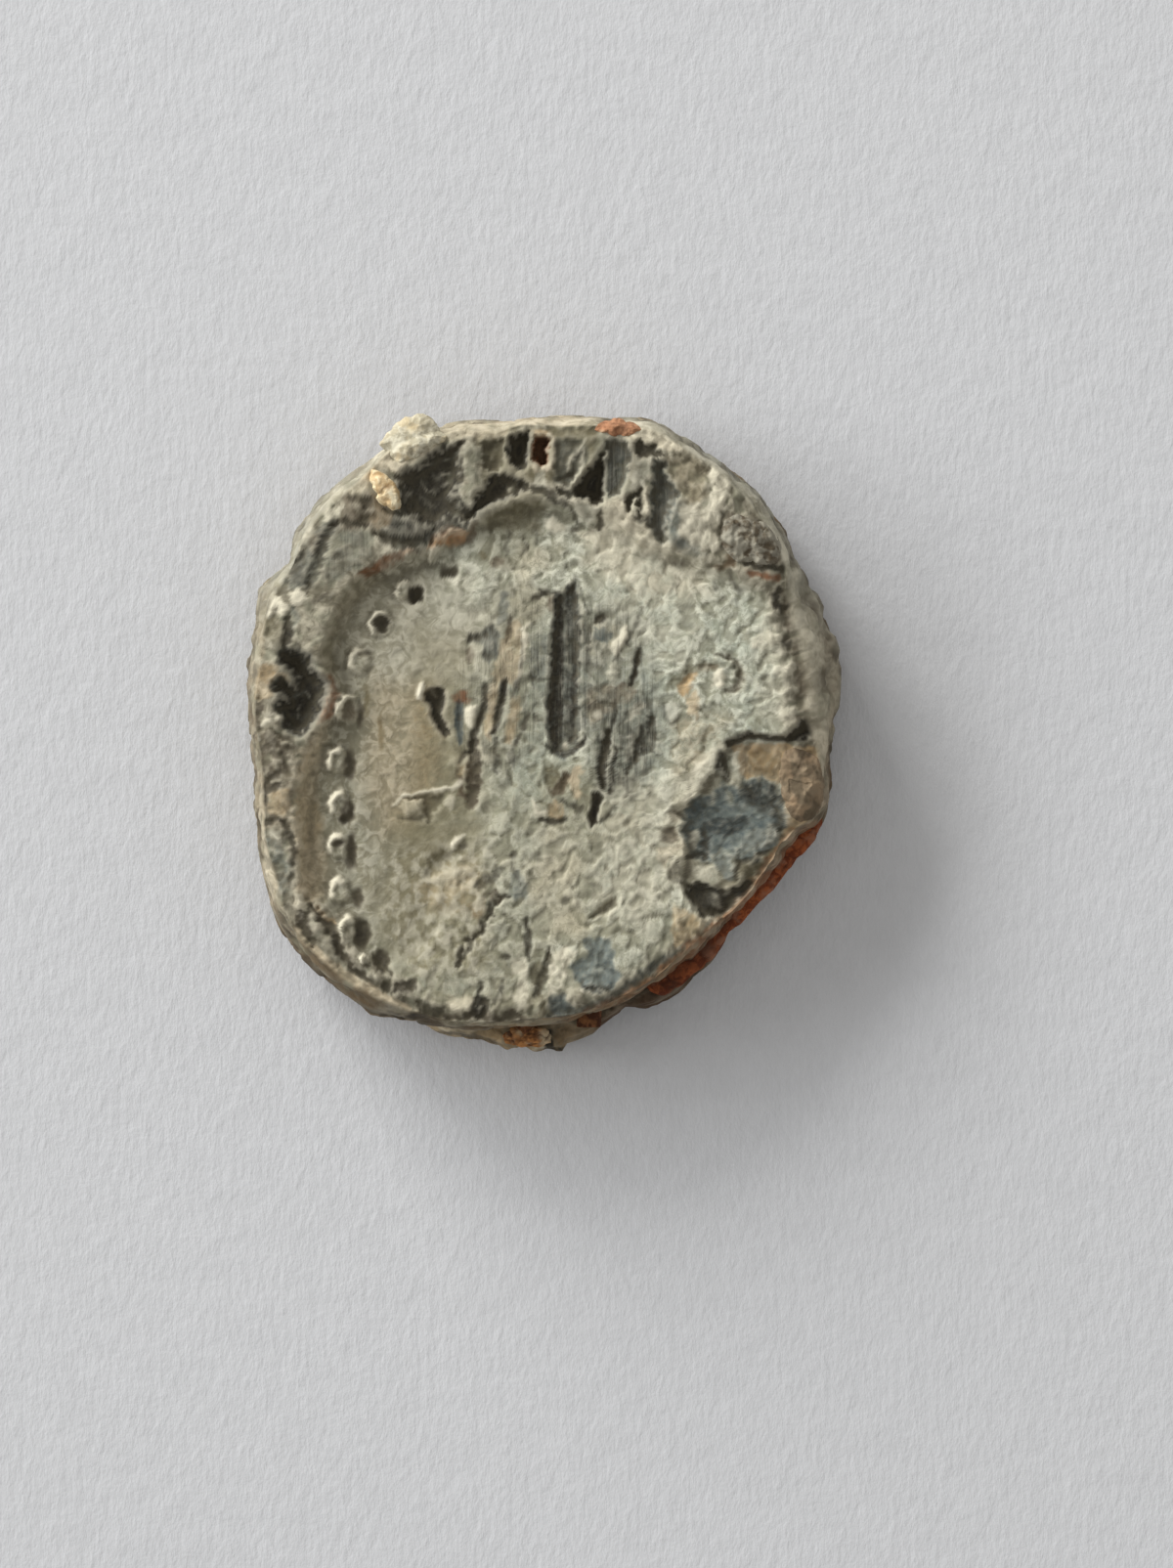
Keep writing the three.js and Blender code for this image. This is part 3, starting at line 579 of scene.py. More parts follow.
tintMarks = {
    "warmLeft": dict(
        shape=[(380, 690), (440, 700), (450, 790), (430, 830), (390, 860), (370, 800)],
        edge=18, tan=0.2,
    ),
    "oliveLow": dict(
        shape=[(375, 900), (440, 890), (470, 950), (455, 1005), (410, 1000), (385, 960)],
        edge=18, olive=0.45,
    ),
    "tanLow": dict(shape=[(425, 905), (480, 880), (500, 905), (475, 935), (440, 930)], edge=12, tan=0.2),
    "peachTop": dict(
        shape=[(620, 515), (655, 530), (700, 572), (725, 605), (660, 615), (605, 575), (600, 545)],
        edge=14, cream=0.42, tan=0.15,
    ),
    "creamRight": dict(
        shape=[(775, 625), (800, 640), (816, 690), (806, 740), (775, 730), (780, 680)],
        edge=12, cream=0.25,
    ),
    "creamLow": dict(
        shape=[(620, 800), (690, 790), (700, 900), (660, 950), (605, 930)],
        edge=18, cream=0.3,
    ),
    "creamEdge": dict(
        shape=[(715, 775), (735, 760), (745, 765), (730, 790), (712, 815), (698, 825), (700, 800)],
        edge=5, cream=0.5,
    ),
    "warmRing": dict(shape=[(685, 735), (745, 735), (725, 785), (690, 800)], edge=12, tan=0.25),
    "coolMiddle": dict(
        shape=[(610, 590), (700, 610), (720, 650), (680, 690), (625, 640)],
        edge=18, cream=0.2,
    ),
    "coolLow": dict(
        shape=[(540, 840), (590, 850), (600, 930), (550, 950), (525, 900)],
        edge=14, cream=0.12,
    ),
    "coolUpper": dict(
        shape=[(350, 640), (400, 590), (470, 570), (520, 600), (500, 690), (420, 700), (360, 690)],
        edge=20, slate=0.04, cream=0.24,
    ),
    "notchShade": dict(shape=[(422, 640), (490, 660), (490, 850), (422, 850)], edge=16, olive=0.7),
    "lowLeftShade": dict(
        shape=[(405, 825), (500, 835), (510, 1000), (420, 1010), (385, 960)],
        edge=20, olive=0.72,
    ),
    "midShade": dict(
        shape=[(540, 780), (665, 780), (665, 860), (600, 880), (545, 850)],
        edge=18, olive=0.5,
    ),
    "rightCrestDark": dict(
        path=[(798, 604), (805, 630), (812, 655), (821, 690), (822, 715), (818, 742)],
        width=[3, 4, 3, 5, 5, 4], dark=0.4, earth=0.5, ragged=4, speckle=0.4,
    ),
    "underBand": dict(
        shape=[(490, 500), (555, 505), (555, 545), (495, 545)],
        edge=8, olive=0.75, dark=0.26,
    ),
    "edgeRust": dict(
        path=[
            (812, 850), (789, 882), (764, 917), (737, 944), (704, 972), (670, 1002), (638, 1021),
            (600, 1036),
        ],
        width=5, earth=0.55, rust=0.35, tan=0.2, ragged=3, edge=3,
    ),
    "upperPale": dict(shape=[(672, 560), (730, 565), (728, 608), (675, 605)], edge=10, cream=0.2),
    "lipBrownTop": dict(path=[(462, 436), (480, 434), (502, 440)], width=4, earth=0.5, dark=0.15),
    "lowShade": dict(shape=[(420, 950), (560, 960), (565, 1035), (430, 1030)], edge=16, olive=0.45),
    "cornerShade": dict(
        shape=[(735, 850), (800, 840), (800, 870), (765, 910), (735, 910)],
        edge=8, olive=0.5, dark=0.15,
    ),
    "lipTopRight": dict(
        shape=[
            (640, 436), (660, 432), (680, 440), (702, 452), (698, 464), (676, 458), (655, 450),
            (640, 448),
        ],
        edge=3, cream=0.6, tan=0.3,
    ),
    "centreShade": dict(
        shape=[
            (478, 640), (515, 600), (556, 600), (560, 700), (556, 765), (520, 790), (480, 780),
            (462, 740), (466, 700),
        ],
        edge=14, olive=0.45, slate=0.15, streak=0.55,
    ),
    "centreShadeR": dict(
        shape=[(594, 610), (650, 625), (680, 720), (676, 775), (645, 815), (612, 812), (600, 760)],
        edge=12, slate=0.3, olive=0.3, streak=0.6,
    ),
    "legShadeBroad": dict(
        shape=[(600, 700), (650, 700), (674, 728), (674, 760), (645, 812), (616, 812), (610, 770)],
        edge=8, dark=0.4, slate=0.2, streak=0.8,
    ),
    "lowerShade": dict(
        shape=[(430, 780), (600, 790), (610, 860), (560, 1000), (450, 990), (430, 900)],
        edge=34, olive=0.34,
    ),
    "lowerShadeR": dict(
        shape=[(590, 840), (680, 840), (680, 960), (600, 990), (560, 950)],
        edge=26, olive=0.34,
    ),
    "pitShade": dict(
        shape=[(690, 810), (745, 790), (800, 800), (806, 860), (760, 910), (700, 915)],
        edge=16, olive=0.3,
    ),
    "rimLeftShade": dict(
        shape=[(256, 745), (300, 755), (298, 845), (262, 850)],
        edge=6, earth=0.45, dark=0.15, speckle=0.4,
    ),
    "topPillar": dict(
        shape=[(490, 440), (610, 436), (610, 490), (495, 500)],
        edge=6, olive=0.7, dark=0.18,
    ),
    "brownUp": dict(
        shape=[(500, 520), (545, 515), (540, 575), (500, 585), (485, 560)],
        edge=10, olive=0.35,
    ),
    "brownRight": dict(
        shape=[(822, 610), (845, 640), (856, 700), (848, 740), (828, 740), (822, 680)],
        edge=6, earth=0.35, olive=0.3,
    ),
    "darkHead": dict(
        shape=[
            (404, 522), (425, 532), (448, 542), (470, 530), (480, 520), (500, 505), (520, 512),
            (500, 522), (478, 540), (455, 545), (440, 556), (412, 561), (390, 553), (395, 540),
        ],
        edge=6, dark=0.82, slate=0.35,
    ),
    "darkHang": dict(
        shape=[
            (342, 530), (350, 536), (336, 556), (330, 575), (322, 600), (300, 604), (292, 590),
            (303, 568), (316, 552), (330, 536),
        ],
        edge=5, dark=0.5, slate=0.35,
    ),
    "darkKnobs": dict(
        shape=[(352, 508), (380, 503), (390, 520), (388, 540), (345, 545), (340, 535), (352, 522)],
        edge=4, earth=0.55, dark=0.3,
    ),
}

leftMarks = {
    "pit": dict(
        shape=[
            (286, 665), (300, 662), (318, 671), (323, 682), (331, 689), (336, 698), (336, 712),
            (331, 724),
            (326, 736), (318, 746), (308, 754), (299, 753), (290, 745), (286, 735), (280, 725),
            (286, 713),
            (279, 708), (277, 700), (284, 692), (293, 690), (299, 695), (290, 684), (282, 678),
        ],
        depth=0.75, slope=16, dark=0.95, slate=0.35, ragged=1.4, edge=3,
    ),
    "pitRust": dict(
        path=[(331, 690), (336, 704), (334, 722), (326, 738)],
        width=4, earth=0.6, rust=0.15, edge=4,
    ),
    "pitGleam": dict(
        path=[(300, 712), (312, 708), (318, 716)],
        width=3, slate=0.5, erase=0.25, depth=-0.05,
    ),
    "pitGleamLow": dict(
        path=[(298, 732), (308, 736), (314, 730)],
        width=2.4, slate=0.5, erase=0.2, depth=-0.05,
    ),
    "pitStain": dict(
        shape=[(332, 722), (338, 708), (345, 704), (344, 720), (339, 734), (330, 736), (324, 744)],
        rust=0.4, earth=0.5,
    ),
    "pitStainHigh": dict(path=[(337, 690), (341, 702), (346, 712)], width=3, earth=0.6, rust=0.2),
    "shoulder": dict(
        shape=[
            (254, 702), (258, 690), (270, 680), (286, 680), (284, 691), (277, 700), (280, 712),
            (270, 717), (256, 716),
        ],
        earth=0.35, tan=0.35, depth=-0.05,
    ),
    "shoulderFace": dict(
        shape=[(262, 700), (270, 697), (276, 705), (272, 715), (264, 712)],
        tan=0.4, cream=0.25,
    ),
    "shoulderTan": dict(
        path=[(282, 692), (292, 691), (296, 698)],
        width=2.6, tan=0.6, cream=0.2, erase=0.6,
    ),
    "underPit": dict(
        shape=[
            (257, 718), (283, 716), (281, 725), (287, 737), (292, 748), (300, 757), (297, 800),
            (285, 806), (270, 812), (262, 800), (258, 770),
        ],
        dark=0.5, earth=0.45, speckle=0.85,
    ),
    "underCream": dict(
        shape=[(268, 737), (277, 729), (287, 730), (291, 735), (280, 741), (268, 743)],
        cream=0.5, erase=0.8, depth=-0.06,
    ),
    "underBead": dict(spot=(261, 756), half=(4, 5), cream=0.9, depth=-0.06),
    "underDarkA": dict(path=[(284, 718), (292, 724), (296, 742)], width=3, dark=0.5),
    # cream and tan on the left outer slope, partly its pale colour and partly painted light where it faces
    # the lamps
    "slopeLitCream": dict(
        shape=[(254, 668), (262, 645), (268, 640), (271, 655), (270, 672), (265, 679), (254, 681)],
        cream=0.3, tan=0.35,
    ),
    "creamA": dict(
        shape=[(270, 617), (285, 612), (296, 620), (295, 628), (282, 629), (274, 632), (266, 626)],
        cream=0.9, depth=-0.08,
    ),
    "creamB": dict(
        shape=[(296, 607), (305, 602), (314, 607), (317, 615), (307, 621), (299, 619)],
        cream=0.85, depth=-0.06,
    ),
    "rimPlate": dict(
        shape=[
            (301, 655), (301, 630), (307, 620), (318, 614), (336, 610), (334, 622), (330, 640),
            (326, 655), (317, 668), (308, 660),
        ],
        cream=0.18, olive=0.15, erase=0.5, depth=-0.04,
    ),
    "rimPlateLine": dict(path=[(306, 655), (305, 663), (312, 668)], width=2.4, dark=0.6),
    "rimDarkA": dict(path=[(294, 634), (296, 650), (292, 662)], width=[4, 6, 5], dark=0.85, depth=0.12),
    "rimDarkB": dict(
        shape=[(270, 629), (285, 628), (293, 640), (286, 656), (275, 655), (269, 640)],
        olive=0.6, dark=0.3, speckle=0.5,
    ),
    "rimGreyB": dict(path=[(300, 622), (304, 632), (300, 642)], width=4, slate=0.4, dark=0.2),
    "rimLine": dict(path=[(317, 617), (328, 614), (336, 606)], width=2.2, dark=0.5, earth=0.3),
    "mottleA": dict(spot=(272, 766), half=(7, 4), dark=0.6, depth=0.06),
    "mottleB": dict(spot=(293, 778), half=(4, 8), dark=0.65, depth=0.08),
    "mottleC": dict(spot=(268, 789), half=(7, 4), turn=-20, dark=0.6, depth=0.06),
    "mottleD": dict(spot=(282, 794), half=(9, 4), turn=-15, dark=0.65, depth=0.08),
    "mottleE": dict(
        shape=[(269, 806), (280, 800), (292, 800), (284, 808), (274, 814), (272, 826), (268, 820)],
        dark=0.65, earth=0.3, depth=0.08,
    ),
    "mottleTan": dict(
        shape=[(274, 815), (284, 808), (296, 806), (298, 826), (288, 836), (276, 830)],
        tan=0.3, erase=0.5,
    ),
    "rimLowDark": dict(
        path=[(270, 843), (284, 838), (296, 846), (300, 866), (301, 890), (299, 904)],
        width=[3, 3, 4, 3, 3, 4], dark=0.7, depth=0.08,
    ),
    "rimSlate": dict(
        shape=[
            (264, 850), (278, 856), (290, 858), (294, 875), (300, 884), (299, 900), (295, 918),
            (289, 918), (285, 905), (284, 890), (275, 879), (268, 866),
        ],
        slate=0.4, olive=0.2, speckle=0.5, depth=0.03, edge=4,
    ),
    "rimSlateCream": dict(
        path=[(272, 854), (284, 852), (288, 862)],
        width=3, cream=0.35, slate=0.2, erase=0.5,
    ),
    "band": dict(
        shape=[
            (334, 736), (330, 760), (325, 790), (322, 820), (326, 850), (333, 875), (332, 900),
            (330, 918),
            (318, 926), (308, 920), (301, 905), (299, 870), (299, 840), (302, 800), (306, 775),
            (319, 755),
        ],
        tan=0.3, cream=0.1, edge=8,
    ),
    # painted shade: brown along the foot of the rim's wall, on the bank that faces away from the light
    "bandWallShade": dict(
        shape=[
            (318, 930), (305, 905), (300, 865), (300, 820), (306, 780), (320, 755), (332, 738),
            (328, 760), (316, 785), (312, 830), (316, 870), (320, 900), (330, 925),
        ],
        earth=0.1, edge=5,
    ),
    # painted shade: olive with tan on the bank below the rim, which faces away from the light
    "bandShadePatch": dict(
        shape=[(303, 815), (325, 820), (330, 850), (318, 870), (304, 860)],
        olive=0.4, tan=0.3, edge=5,
    ),
    "channelDark": dict(
        shape=[(303, 932), (318, 932), (317, 945), (322, 960), (320, 969), (310, 956), (302, 944)],
        dark=0.7, earth=0.5, depth=0.12,
    ),
    "channelLine": dict(
        path=[(317, 927), (328, 938), (338, 950), (346, 965), (352, 980), (366, 994), (378, 1002)],
        width=[3, 4, 5, 5, 4, 4, 3], dark=0.7, earth=0.5, depth=0.18, edge=3,
    ),
    "channelTan": dict(path=[(322, 928), (332, 938), (342, 944)], width=3, tan=0.5, earth=0.3),
    "channelLump": dict(
        shape=[(303, 916), (309, 915), (314, 925), (310, 932), (303, 930)],
        cream=0.45, tan=0.2, depth=-0.12, erase=0.8,
    ),
    "innerSlate": dict(
        shape=[
            (324, 958), (340, 956), (350, 985), (366, 998), (382, 1005), (374, 1009), (350, 996),
            (330, 976),
        ],
        olive=0.5, slate=0.2, earth=0.2, edge=4,
    ),
    "lowChannel": dict(
        shape=[
            (381, 974), (392, 984), (402, 996), (402, 1010), (396, 1016), (388, 1010), (390, 996),
            (380, 986),
        ],
        dark=0.7, olive=0.5, earth=0.2, depth=0.12, slope=5,
    ),
    "lowBrown": dict(
        shape=[(402, 1006), (412, 1002), (428, 1003), (428, 1013), (412, 1017), (400, 1015)],
        dark=0.7, earth=0.4, depth=0.1,
    ),
    "lowBlock": dict(
        shape=[
            (424, 1022), (436, 1023), (441, 1030), (455, 1030), (453, 1040), (440, 1047), (430, 1045),
            (427, 1034),
        ],
        dark=0.7, olive=0.5, depth=0.1,
    ),
    "lowBlockLine": dict(path=[(412, 1022), (424, 1034), (434, 1046)], width=3, dark=0.4),
}

middleMarks = {
    "mainStrip": dict(
        shape=[
            (564, 640), (561, 690), (558, 725), (559, 752), (566, 771), (580, 770), (592, 762),
            (595, 745),
            (593, 700), (594, 650), (593, 612), (588, 594), (581, 598), (576, 606), (567, 608),
        ],
        depth=0.26, slope=6, ragged=1.5, dark=0.66, slate=0.35, streak=0.5, edge=1.6,
    ),
    "stripLeft": dict(
        shape=[
            (566, 613), (574, 606), (577, 622), (577, 640), (577, 680), (576, 712), (577, 745),
            (573, 764),
            (566, 768), (561, 750), (560, 725), (562, 690), (564, 660), (566, 640),
        ],
        ragged=1.2, dark=0.97, streak=0.3, edge=1.6,
    ),
    "stripHook": dict(
        path=[(546, 611), (553, 607), (562, 605), (571, 606), (575, 613)],
        width=2.8, dark=0.7, earth=0.3, depth=0.08,
    ),
    "stripBrown": dict(spot=(564, 617), half=(4.5, 10), earth=0.8, dark=0.35),
    "linedStrip": dict(
        shape=[
            (579, 604), (584, 597), (588, 596), (592, 606), (594, 640), (592, 690), (592, 730),
            (588, 746), (580, 742), (578, 690), (578, 640),
        ],
        ragged=1, dark=0.88, slate=0.5, streak=0.7,
    ),
    "linedLight": dict(
        path=[(584, 604), (584, 640), (583, 680), (582, 720)],
        width=1.3, ragged=0.8, erase=0.3, slate=0.4,
    ),
    "linedDarkA": dict(path=[(588, 640), (587, 690), (586, 735)], width=1.6, ragged=1.2, dark=0.85),
    "linedDarkB": dict(
        path=[(592, 612), (593, 640), (591, 690), (591, 738)],
        width=2.4, ragged=1.4, dark=0.8, depth=0.05,
    ),
    "stripPeak": dict(path=[(583, 600), (588, 590), (592, 602)], width=2.4, dark=0.6),
    "thinRight": dict(path=[(591, 600), (597, 612), (602, 626)], width=2.4, dark=0.65, depth=0.06),
    "stripFoot": dict(
        path=[(560, 762), (566, 768), (575, 771), (586, 768), (596, 760), (600, 752)],
        width=[2, 4, 5, 4, 3, 1], dark=0.9, depth=0.12, ragged=1,
    ),
    "stripTongue": dict(shape=[(571, 769), (579, 771), (577, 779), (572, 780)], slate=0.7, dark=0.1),
    "stripSpark": dict(spot=(578, 762), half=(3.2, 4.5), cream=0.9, erase=1, ragged=0.5),
    "stripBrownLow": dict(
        shape=[(578, 738), (588, 742), (591, 755), (583, 761), (577, 750)],
        dark=0.65, earth=0.5, depth=0.05,
    ),
    "rightShade": dict(
        shape=[
            (593, 640), (600, 632), (606, 645), (606, 680), (604, 720), (600, 745), (592, 750),
            (591, 700),
        ],
        dark=0.48, slate=0.35, streak=0.9, depth=0.05,
    ),
    "rightLine": dict(path=[(604, 700), (602, 720), (600, 745)], width=2, dark=0.6),
    "leftShade": dict(
        shape=[(543, 655), (552, 648), (562, 650), (560, 700), (556, 716), (545, 706), (540, 690)],
        dark=0.28, slate=0.35, streak=0.9,
    ),
    "chipEdge": dict(path=[(548, 716), (545, 728), (549, 737), (557, 738)], width=1.8, dark=0.6),
    "tanA": dict(
        shape=[
            (520, 640), (530, 632), (534, 645), (531, 690), (525, 701), (515, 697), (508, 701),
            (503, 690), (512, 660),
        ],
        tan=0.48, cream=0.1, streak=0.5, depth=0.03,
    ),
    "tanB": dict(
        shape=[(499, 700), (511, 696), (509, 720), (505, 745), (500, 758), (494, 745), (498, 720)],
        tan=0.5, streak=0.5,
    ),
    "creamC": dict(
        shape=[(534, 641), (540, 636), (539, 655), (534, 690), (529, 700), (531, 670)],
        cream=0.8, tan=0.2, depth=-0.05,
    ),
    "tanD": dict(
        shape=[(516, 745), (522, 716), (531, 712), (533, 725), (530, 745), (522, 762), (517, 758)],
        tan=0.48, streak=0.5,
    ),
    "darkA": dict(
        path=[(516, 697), (515, 710), (511, 725), (508, 740), (504, 750)],
        width=[3, 4, 3.5, 4, 2], ragged=1, dark=0.95, earth=0.2, depth=0.12,
    ),
    "darkB": dict(
        path=[(535, 660), (532, 690), (527, 705), (524, 714)],
        width=2.1, ragged=1, dark=0.65, earth=0.3, depth=0.05,
    ),
    "darkC": dict(
        path=[(541, 730), (536, 742), (528, 762)],
        width=2.6, ragged=1, dark=0.6, earth=0.3, depth=0.05,
    ),
    "darkD": dict(path=[(521, 632), (521, 645), (519, 656)], width=2.6, dark=0.5, earth=0.6, depth=0.05),
    "darkE": dict(
        path=[(497, 700), (497, 720), (491, 735), (485, 750), (483, 776)],
        width=[2.4, 3, 3.5, 4, 3], ragged=1, dark=0.85, earth=0.2, depth=0.1,
    ),
    "darkF": dict(path=[(544, 640), (546, 628), (552, 620)], width=2.2, dark=0.25, olive=0.3),
    "slatePatch": dict(
        shape=[
            (497, 640), (505, 640), (511, 650), (509, 672), (500, 681), (492, 673), (497, 660),
            (485, 656), (478, 658), (480, 650), (492, 648),
        ],
        slate=0.7, dark=0.5, depth=0.05, streak=0.4,
    ),
    "slateArm": dict(path=[(477, 655), (487, 651), (499, 649)], width=3.2, dark=0.85, depth=0.06),
    "slateHead": dict(
        shape=[(512, 605), (520, 605), (521, 615), (517, 635), (508, 641), (509, 620)],
        slate=0.6, dark=0.25,
    ),
    "brownTick": dict(
        shape=[(477, 662), (483, 660), (485, 672), (481, 680), (476, 677)],
        earth=0.85, dark=0.2, depth=0.05,
    ),
    "footDarkA": dict(path=[(507, 757), (508, 775), (507, 790)], width=4, dark=0.6, depth=0.06),
    "footDarkB": dict(
        shape=[(516, 768), (526, 766), (530, 775), (527, 784), (520, 784)],
        dark=0.55, slate=0.2,
    ),
    "footDarkC": dict(path=[(492, 756), (498, 768), (503, 775)], width=4, dark=0.4, slate=0.2),
    "spotHigh": dict(
        shape=[(609, 630), (618, 628), (622, 632), (616, 638), (606, 638)],
        dark=1.0, earth=0.4, depth=0.12, ragged=1,
    ),
    "spotSlate": dict(
        shape=[(608, 642), (618, 641), (628, 648), (622, 657), (612, 658), (606, 650)],
        slate=0.75, dark=0.15,
    ),
    "whitePatch": dict(
        shape=[(622, 662), (632, 650), (640, 638), (644, 647), (638, 661), (630, 669)],
        cream=0.85, depth=-0.05,
    ),
    "greyPatch": dict(
        shape=[
            (600, 660), (612, 655), (625, 662), (640, 665), (640, 676), (632, 680), (620, 678),
            (605, 690), (596, 680),
        ],
        slate=0.4, cream=0.15,
    ),
    "ovalPale": dict(
        shape=[(622, 680), (628, 672), (634, 680), (634, 692), (628, 701), (621, 690)],
        cream=0.35, slate=0.35, depth=-0.05,
    ),
    "tickA": dict(
        path=[(654, 665), (652, 675), (650, 685)],
        width=[2.5, 4, 2], dark=1.0, depth=0.12, ragged=1,
    ),
    "tickB": dict(
        path=[(650, 689), (647, 694), (645, 701)],
        width=[3.5, 3, 1.5], dark=1.0, depth=0.12, ragged=1,
    ),
    "lineUp": dict(
        path=[(657, 624), (652, 640), (642, 655), (636, 664)],
        width=[2, 3, 2.5, 1.5], dark=0.4, depth=0.04,
    ),
    "lineSide": dict(path=[(636, 672), (634, 690)], width=3, dark=0.4, slate=0.2),
    "brownZone": dict(
        shape=[
            (600, 705), (620, 700), (645, 700), (652, 706), (645, 718), (630, 722), (615, 736),
            (604, 741), (598, 728),
        ],
        earth=0.4, tan=0.3, speckle=0.4,
    ),
    "brownArm": dict(path=[(628, 703), (640, 701), (650, 707)], width=2.4, earth=0.8, dark=0.4),
    "plug": dict(spot=(611, 731), half=(4, 5), cream=0.7, tan=0.3, ragged=0.5),
    "plugDark": dict(path=[(604, 727), (612, 724), (618, 729)], width=2, earth=0.8, dark=0.3),
    "yellowPale": dict(
        shape=[(645, 725), (655, 715), (660, 722), (650, 735), (640, 740)],
        cream=0.6, olive=0.1,
    ),
    "legA": dict(
        path=[(622, 748), (620, 765), (617, 782), (616, 795), (619, 806)],
        width=[3, 5, 5.5, 5, 3], dark=0.97, depth=0.16, ragged=1.6,
    ),
    "legB": dict(
        path=[(630, 765), (627, 785), (625, 810)],
        width=[2, 3, 3.5], dark=0.9, depth=0.08, ragged=1.6,
    ),
    "legGrey": dict(
        shape=[(633, 775), (641, 782), (639, 798), (634, 811), (627, 811), (630, 790)],
        dark=0.5, streak=1.0, depth=0.08,
    ),
    "legTick": dict(path=[(631, 724), (628, 740), (624, 751)], width=2.5, dark=0.8, depth=0.06, ragged=1),
    "legShade": dict(shape=[(620, 800), (640, 795), (638, 808), (624, 813)], dark=0.5),
    "rightA": dict(
        path=[(657, 745), (653, 765), (648, 780), (641, 791)],
        width=[3, 4.5, 4, 2], dark=0.9, depth=0.1, ragged=1.8,
    ),
    "rightB": dict(
        shape=[
            (663, 732), (670, 728), (672, 740), (674, 755), (669, 770), (661, 775), (655, 773),
            (658, 750),
        ],
        dark=0.72, streak=1.0, depth=0.12,
    ),
    "rightC": dict(path=[(676, 758), (672, 772)], width=2.5, dark=0.4),
    "rightPale": dict(
        shape=[(640, 757), (652, 748), (650, 765), (645, 776), (640, 781)],
        cream=0.3, slate=0.15,
    ),
    "rightPatch": dict(
        shape=[(648, 783), (662, 778), (668, 790), (662, 801), (654, 800)],
        slate=0.35, dark=0.1,
    ),
    "lineDown": dict(path=[(655, 700), (660, 715), (655, 725)], width=2.2, dark=0.35, slate=0.2),
    "lowOlive": dict(
        shape=[(558, 785), (566, 781), (576, 785), (572, 798), (562, 807), (557, 798)],
        olive=0.75, dark=0.15, depth=0.05,
    ),
    "lowTan": dict(
        shape=[(585, 785), (593, 782), (597, 790), (591, 800), (593, 816), (586, 816), (583, 800)],
        tan=0.5, cream=0.2,
    ),
    "lowBrown": dict(
        shape=[(576, 792), (585, 792), (583, 800), (575, 813), (566, 816), (560, 808), (568, 802)],
        earth=0.8, dark=0.3, depth=0.06,
    ),
    "lowPink": dict(
        shape=[(561, 822), (570, 818), (577, 825), (575, 836), (565, 838), (558, 832)],
        earth=0.3, tan=0.35,
    ),
    "lowDarkA": dict(
        path=[(553, 838), (565, 841), (579, 838)],
        width=3.6, dark=0.9, depth=0.08, ragged=1,
    ),
    "lowDarkB": dict(path=[(577, 820), (590, 829), (598, 825)], width=3.6, dark=0.7, depth=0.06),
    "lowBlot": dict(
        shape=[
            (606, 812), (613, 810), (618, 815), (614, 825), (611, 841), (604, 846), (601, 835),
            (605, 825),
        ],
        dark=1.0, depth=0.25, slope=3, ragged=1,
    ),
    "lowArm": dict(path=[(612, 841), (622, 836), (630, 826)], width=3, dark=0.65, depth=0.05),
    "lowCream": dict(
        shape=[(545, 820), (552, 828), (560, 829), (557, 837), (547, 833)],
        cream=0.75, depth=-0.04,
    ),
    "boxSide": dict(
        path=[(485, 762), (485, 785), (485, 802), (483, 822)],
        width=[5, 7, 7, 5], dark=0.6, earth=0.7, depth=0.1,
    ),
    "boxTop": dict(
        path=[(469, 780), (477, 770), (486, 767)],
        width=3, ragged=1, dark=0.8, earth=0.3, depth=0.08,
    ),
    "boxFloor": dict(path=[(467, 795), (477, 797), (484, 793)], width=2.4, ragged=1, earth=0.8, dark=0.4),
    "boxLeft": dict(path=[(468, 782), (467, 794)], width=1.8, ragged=1, earth=0.7, dark=0.2),
    "boxInside": dict(shape=[(468, 781), (481, 780), (481, 794), (470, 795)], earth=0.3, tan=0.2),
    "boxLow": dict(path=[(471, 800), (471, 812), (481, 818)], width=3, earth=0.8, dark=0.35),
    "slateLeft": dict(
        path=[(470, 719), (469, 740), (471, 758)],
        width=[4, 4.5, 3], ragged=1, slate=0.95, dark=0.35, depth=0.06,
    ),
    "whiteBit": dict(
        shape=[(474, 726), (480, 720), (488, 722), (486, 732), (484, 745), (478, 742), (475, 735)],
        cream=0.8, depth=-0.06, ragged=1,
    ),
    "notch": dict(
        shape=[
            (438, 706), (447, 703), (454, 704), (457, 715), (452, 730), (457, 742), (461, 751),
            (455, 755), (448, 746), (441, 735), (440, 722), (435, 716), (434, 710),
        ],
        dark=1.0, rust=0.12, depth=0.35, slope=6, ragged=1,
    ),
    "notchLit": dict(spot=(443, 710), half=(3.5, 3.5), erase=0.7),
    "notchFlake": dict(
        shape=[(425, 711), (428, 700), (432, 696), (434, 706), (431, 715), (427, 715)],
        cream=1.0, depth=-0.14, ragged=0.6,
    ),
    "redTouch": dict(
        shape=[(462, 712), (470, 706), (478, 706), (481, 717), (470, 719), (462, 717)],
        rust=0.4, earth=0.3,
    ),
    "ridgeLine": dict(
        path=[(403, 822), (412, 814), (430, 811), (445, 808), (460, 806), (471, 802)],
        width=[1.2, 1.6, 1.3, 1.8, 2.4, 2.2], ragged=1.6, cream=0.7, depth=-0.07,
    ),
    "ridgeShade": dict(
        shape=[
            (412, 817), (430, 814), (455, 811), (453, 822), (446, 832), (438, 843), (432, 832),
            (433, 820),
        ],
        olive=0.8, dark=0.25, depth=0.12,
    ),
    "leftLump": dict(
        shape=[(406, 824), (414, 818), (430, 817), (434, 827), (428, 836), (414, 836)],
        cream=0.1, depth=-0.12, slope=8,
    ),
    "lumpShade": dict(
        path=[(412, 837), (428, 839), (435, 833)],
        width=2.6, dark=0.5, olive=0.3, depth=0.06,
    ),
    "rightLump": dict(
        shape=[(455, 815), (464, 812), (467, 822), (460, 829), (455, 822)],
        cream=0.3, depth=-0.05,
    ),
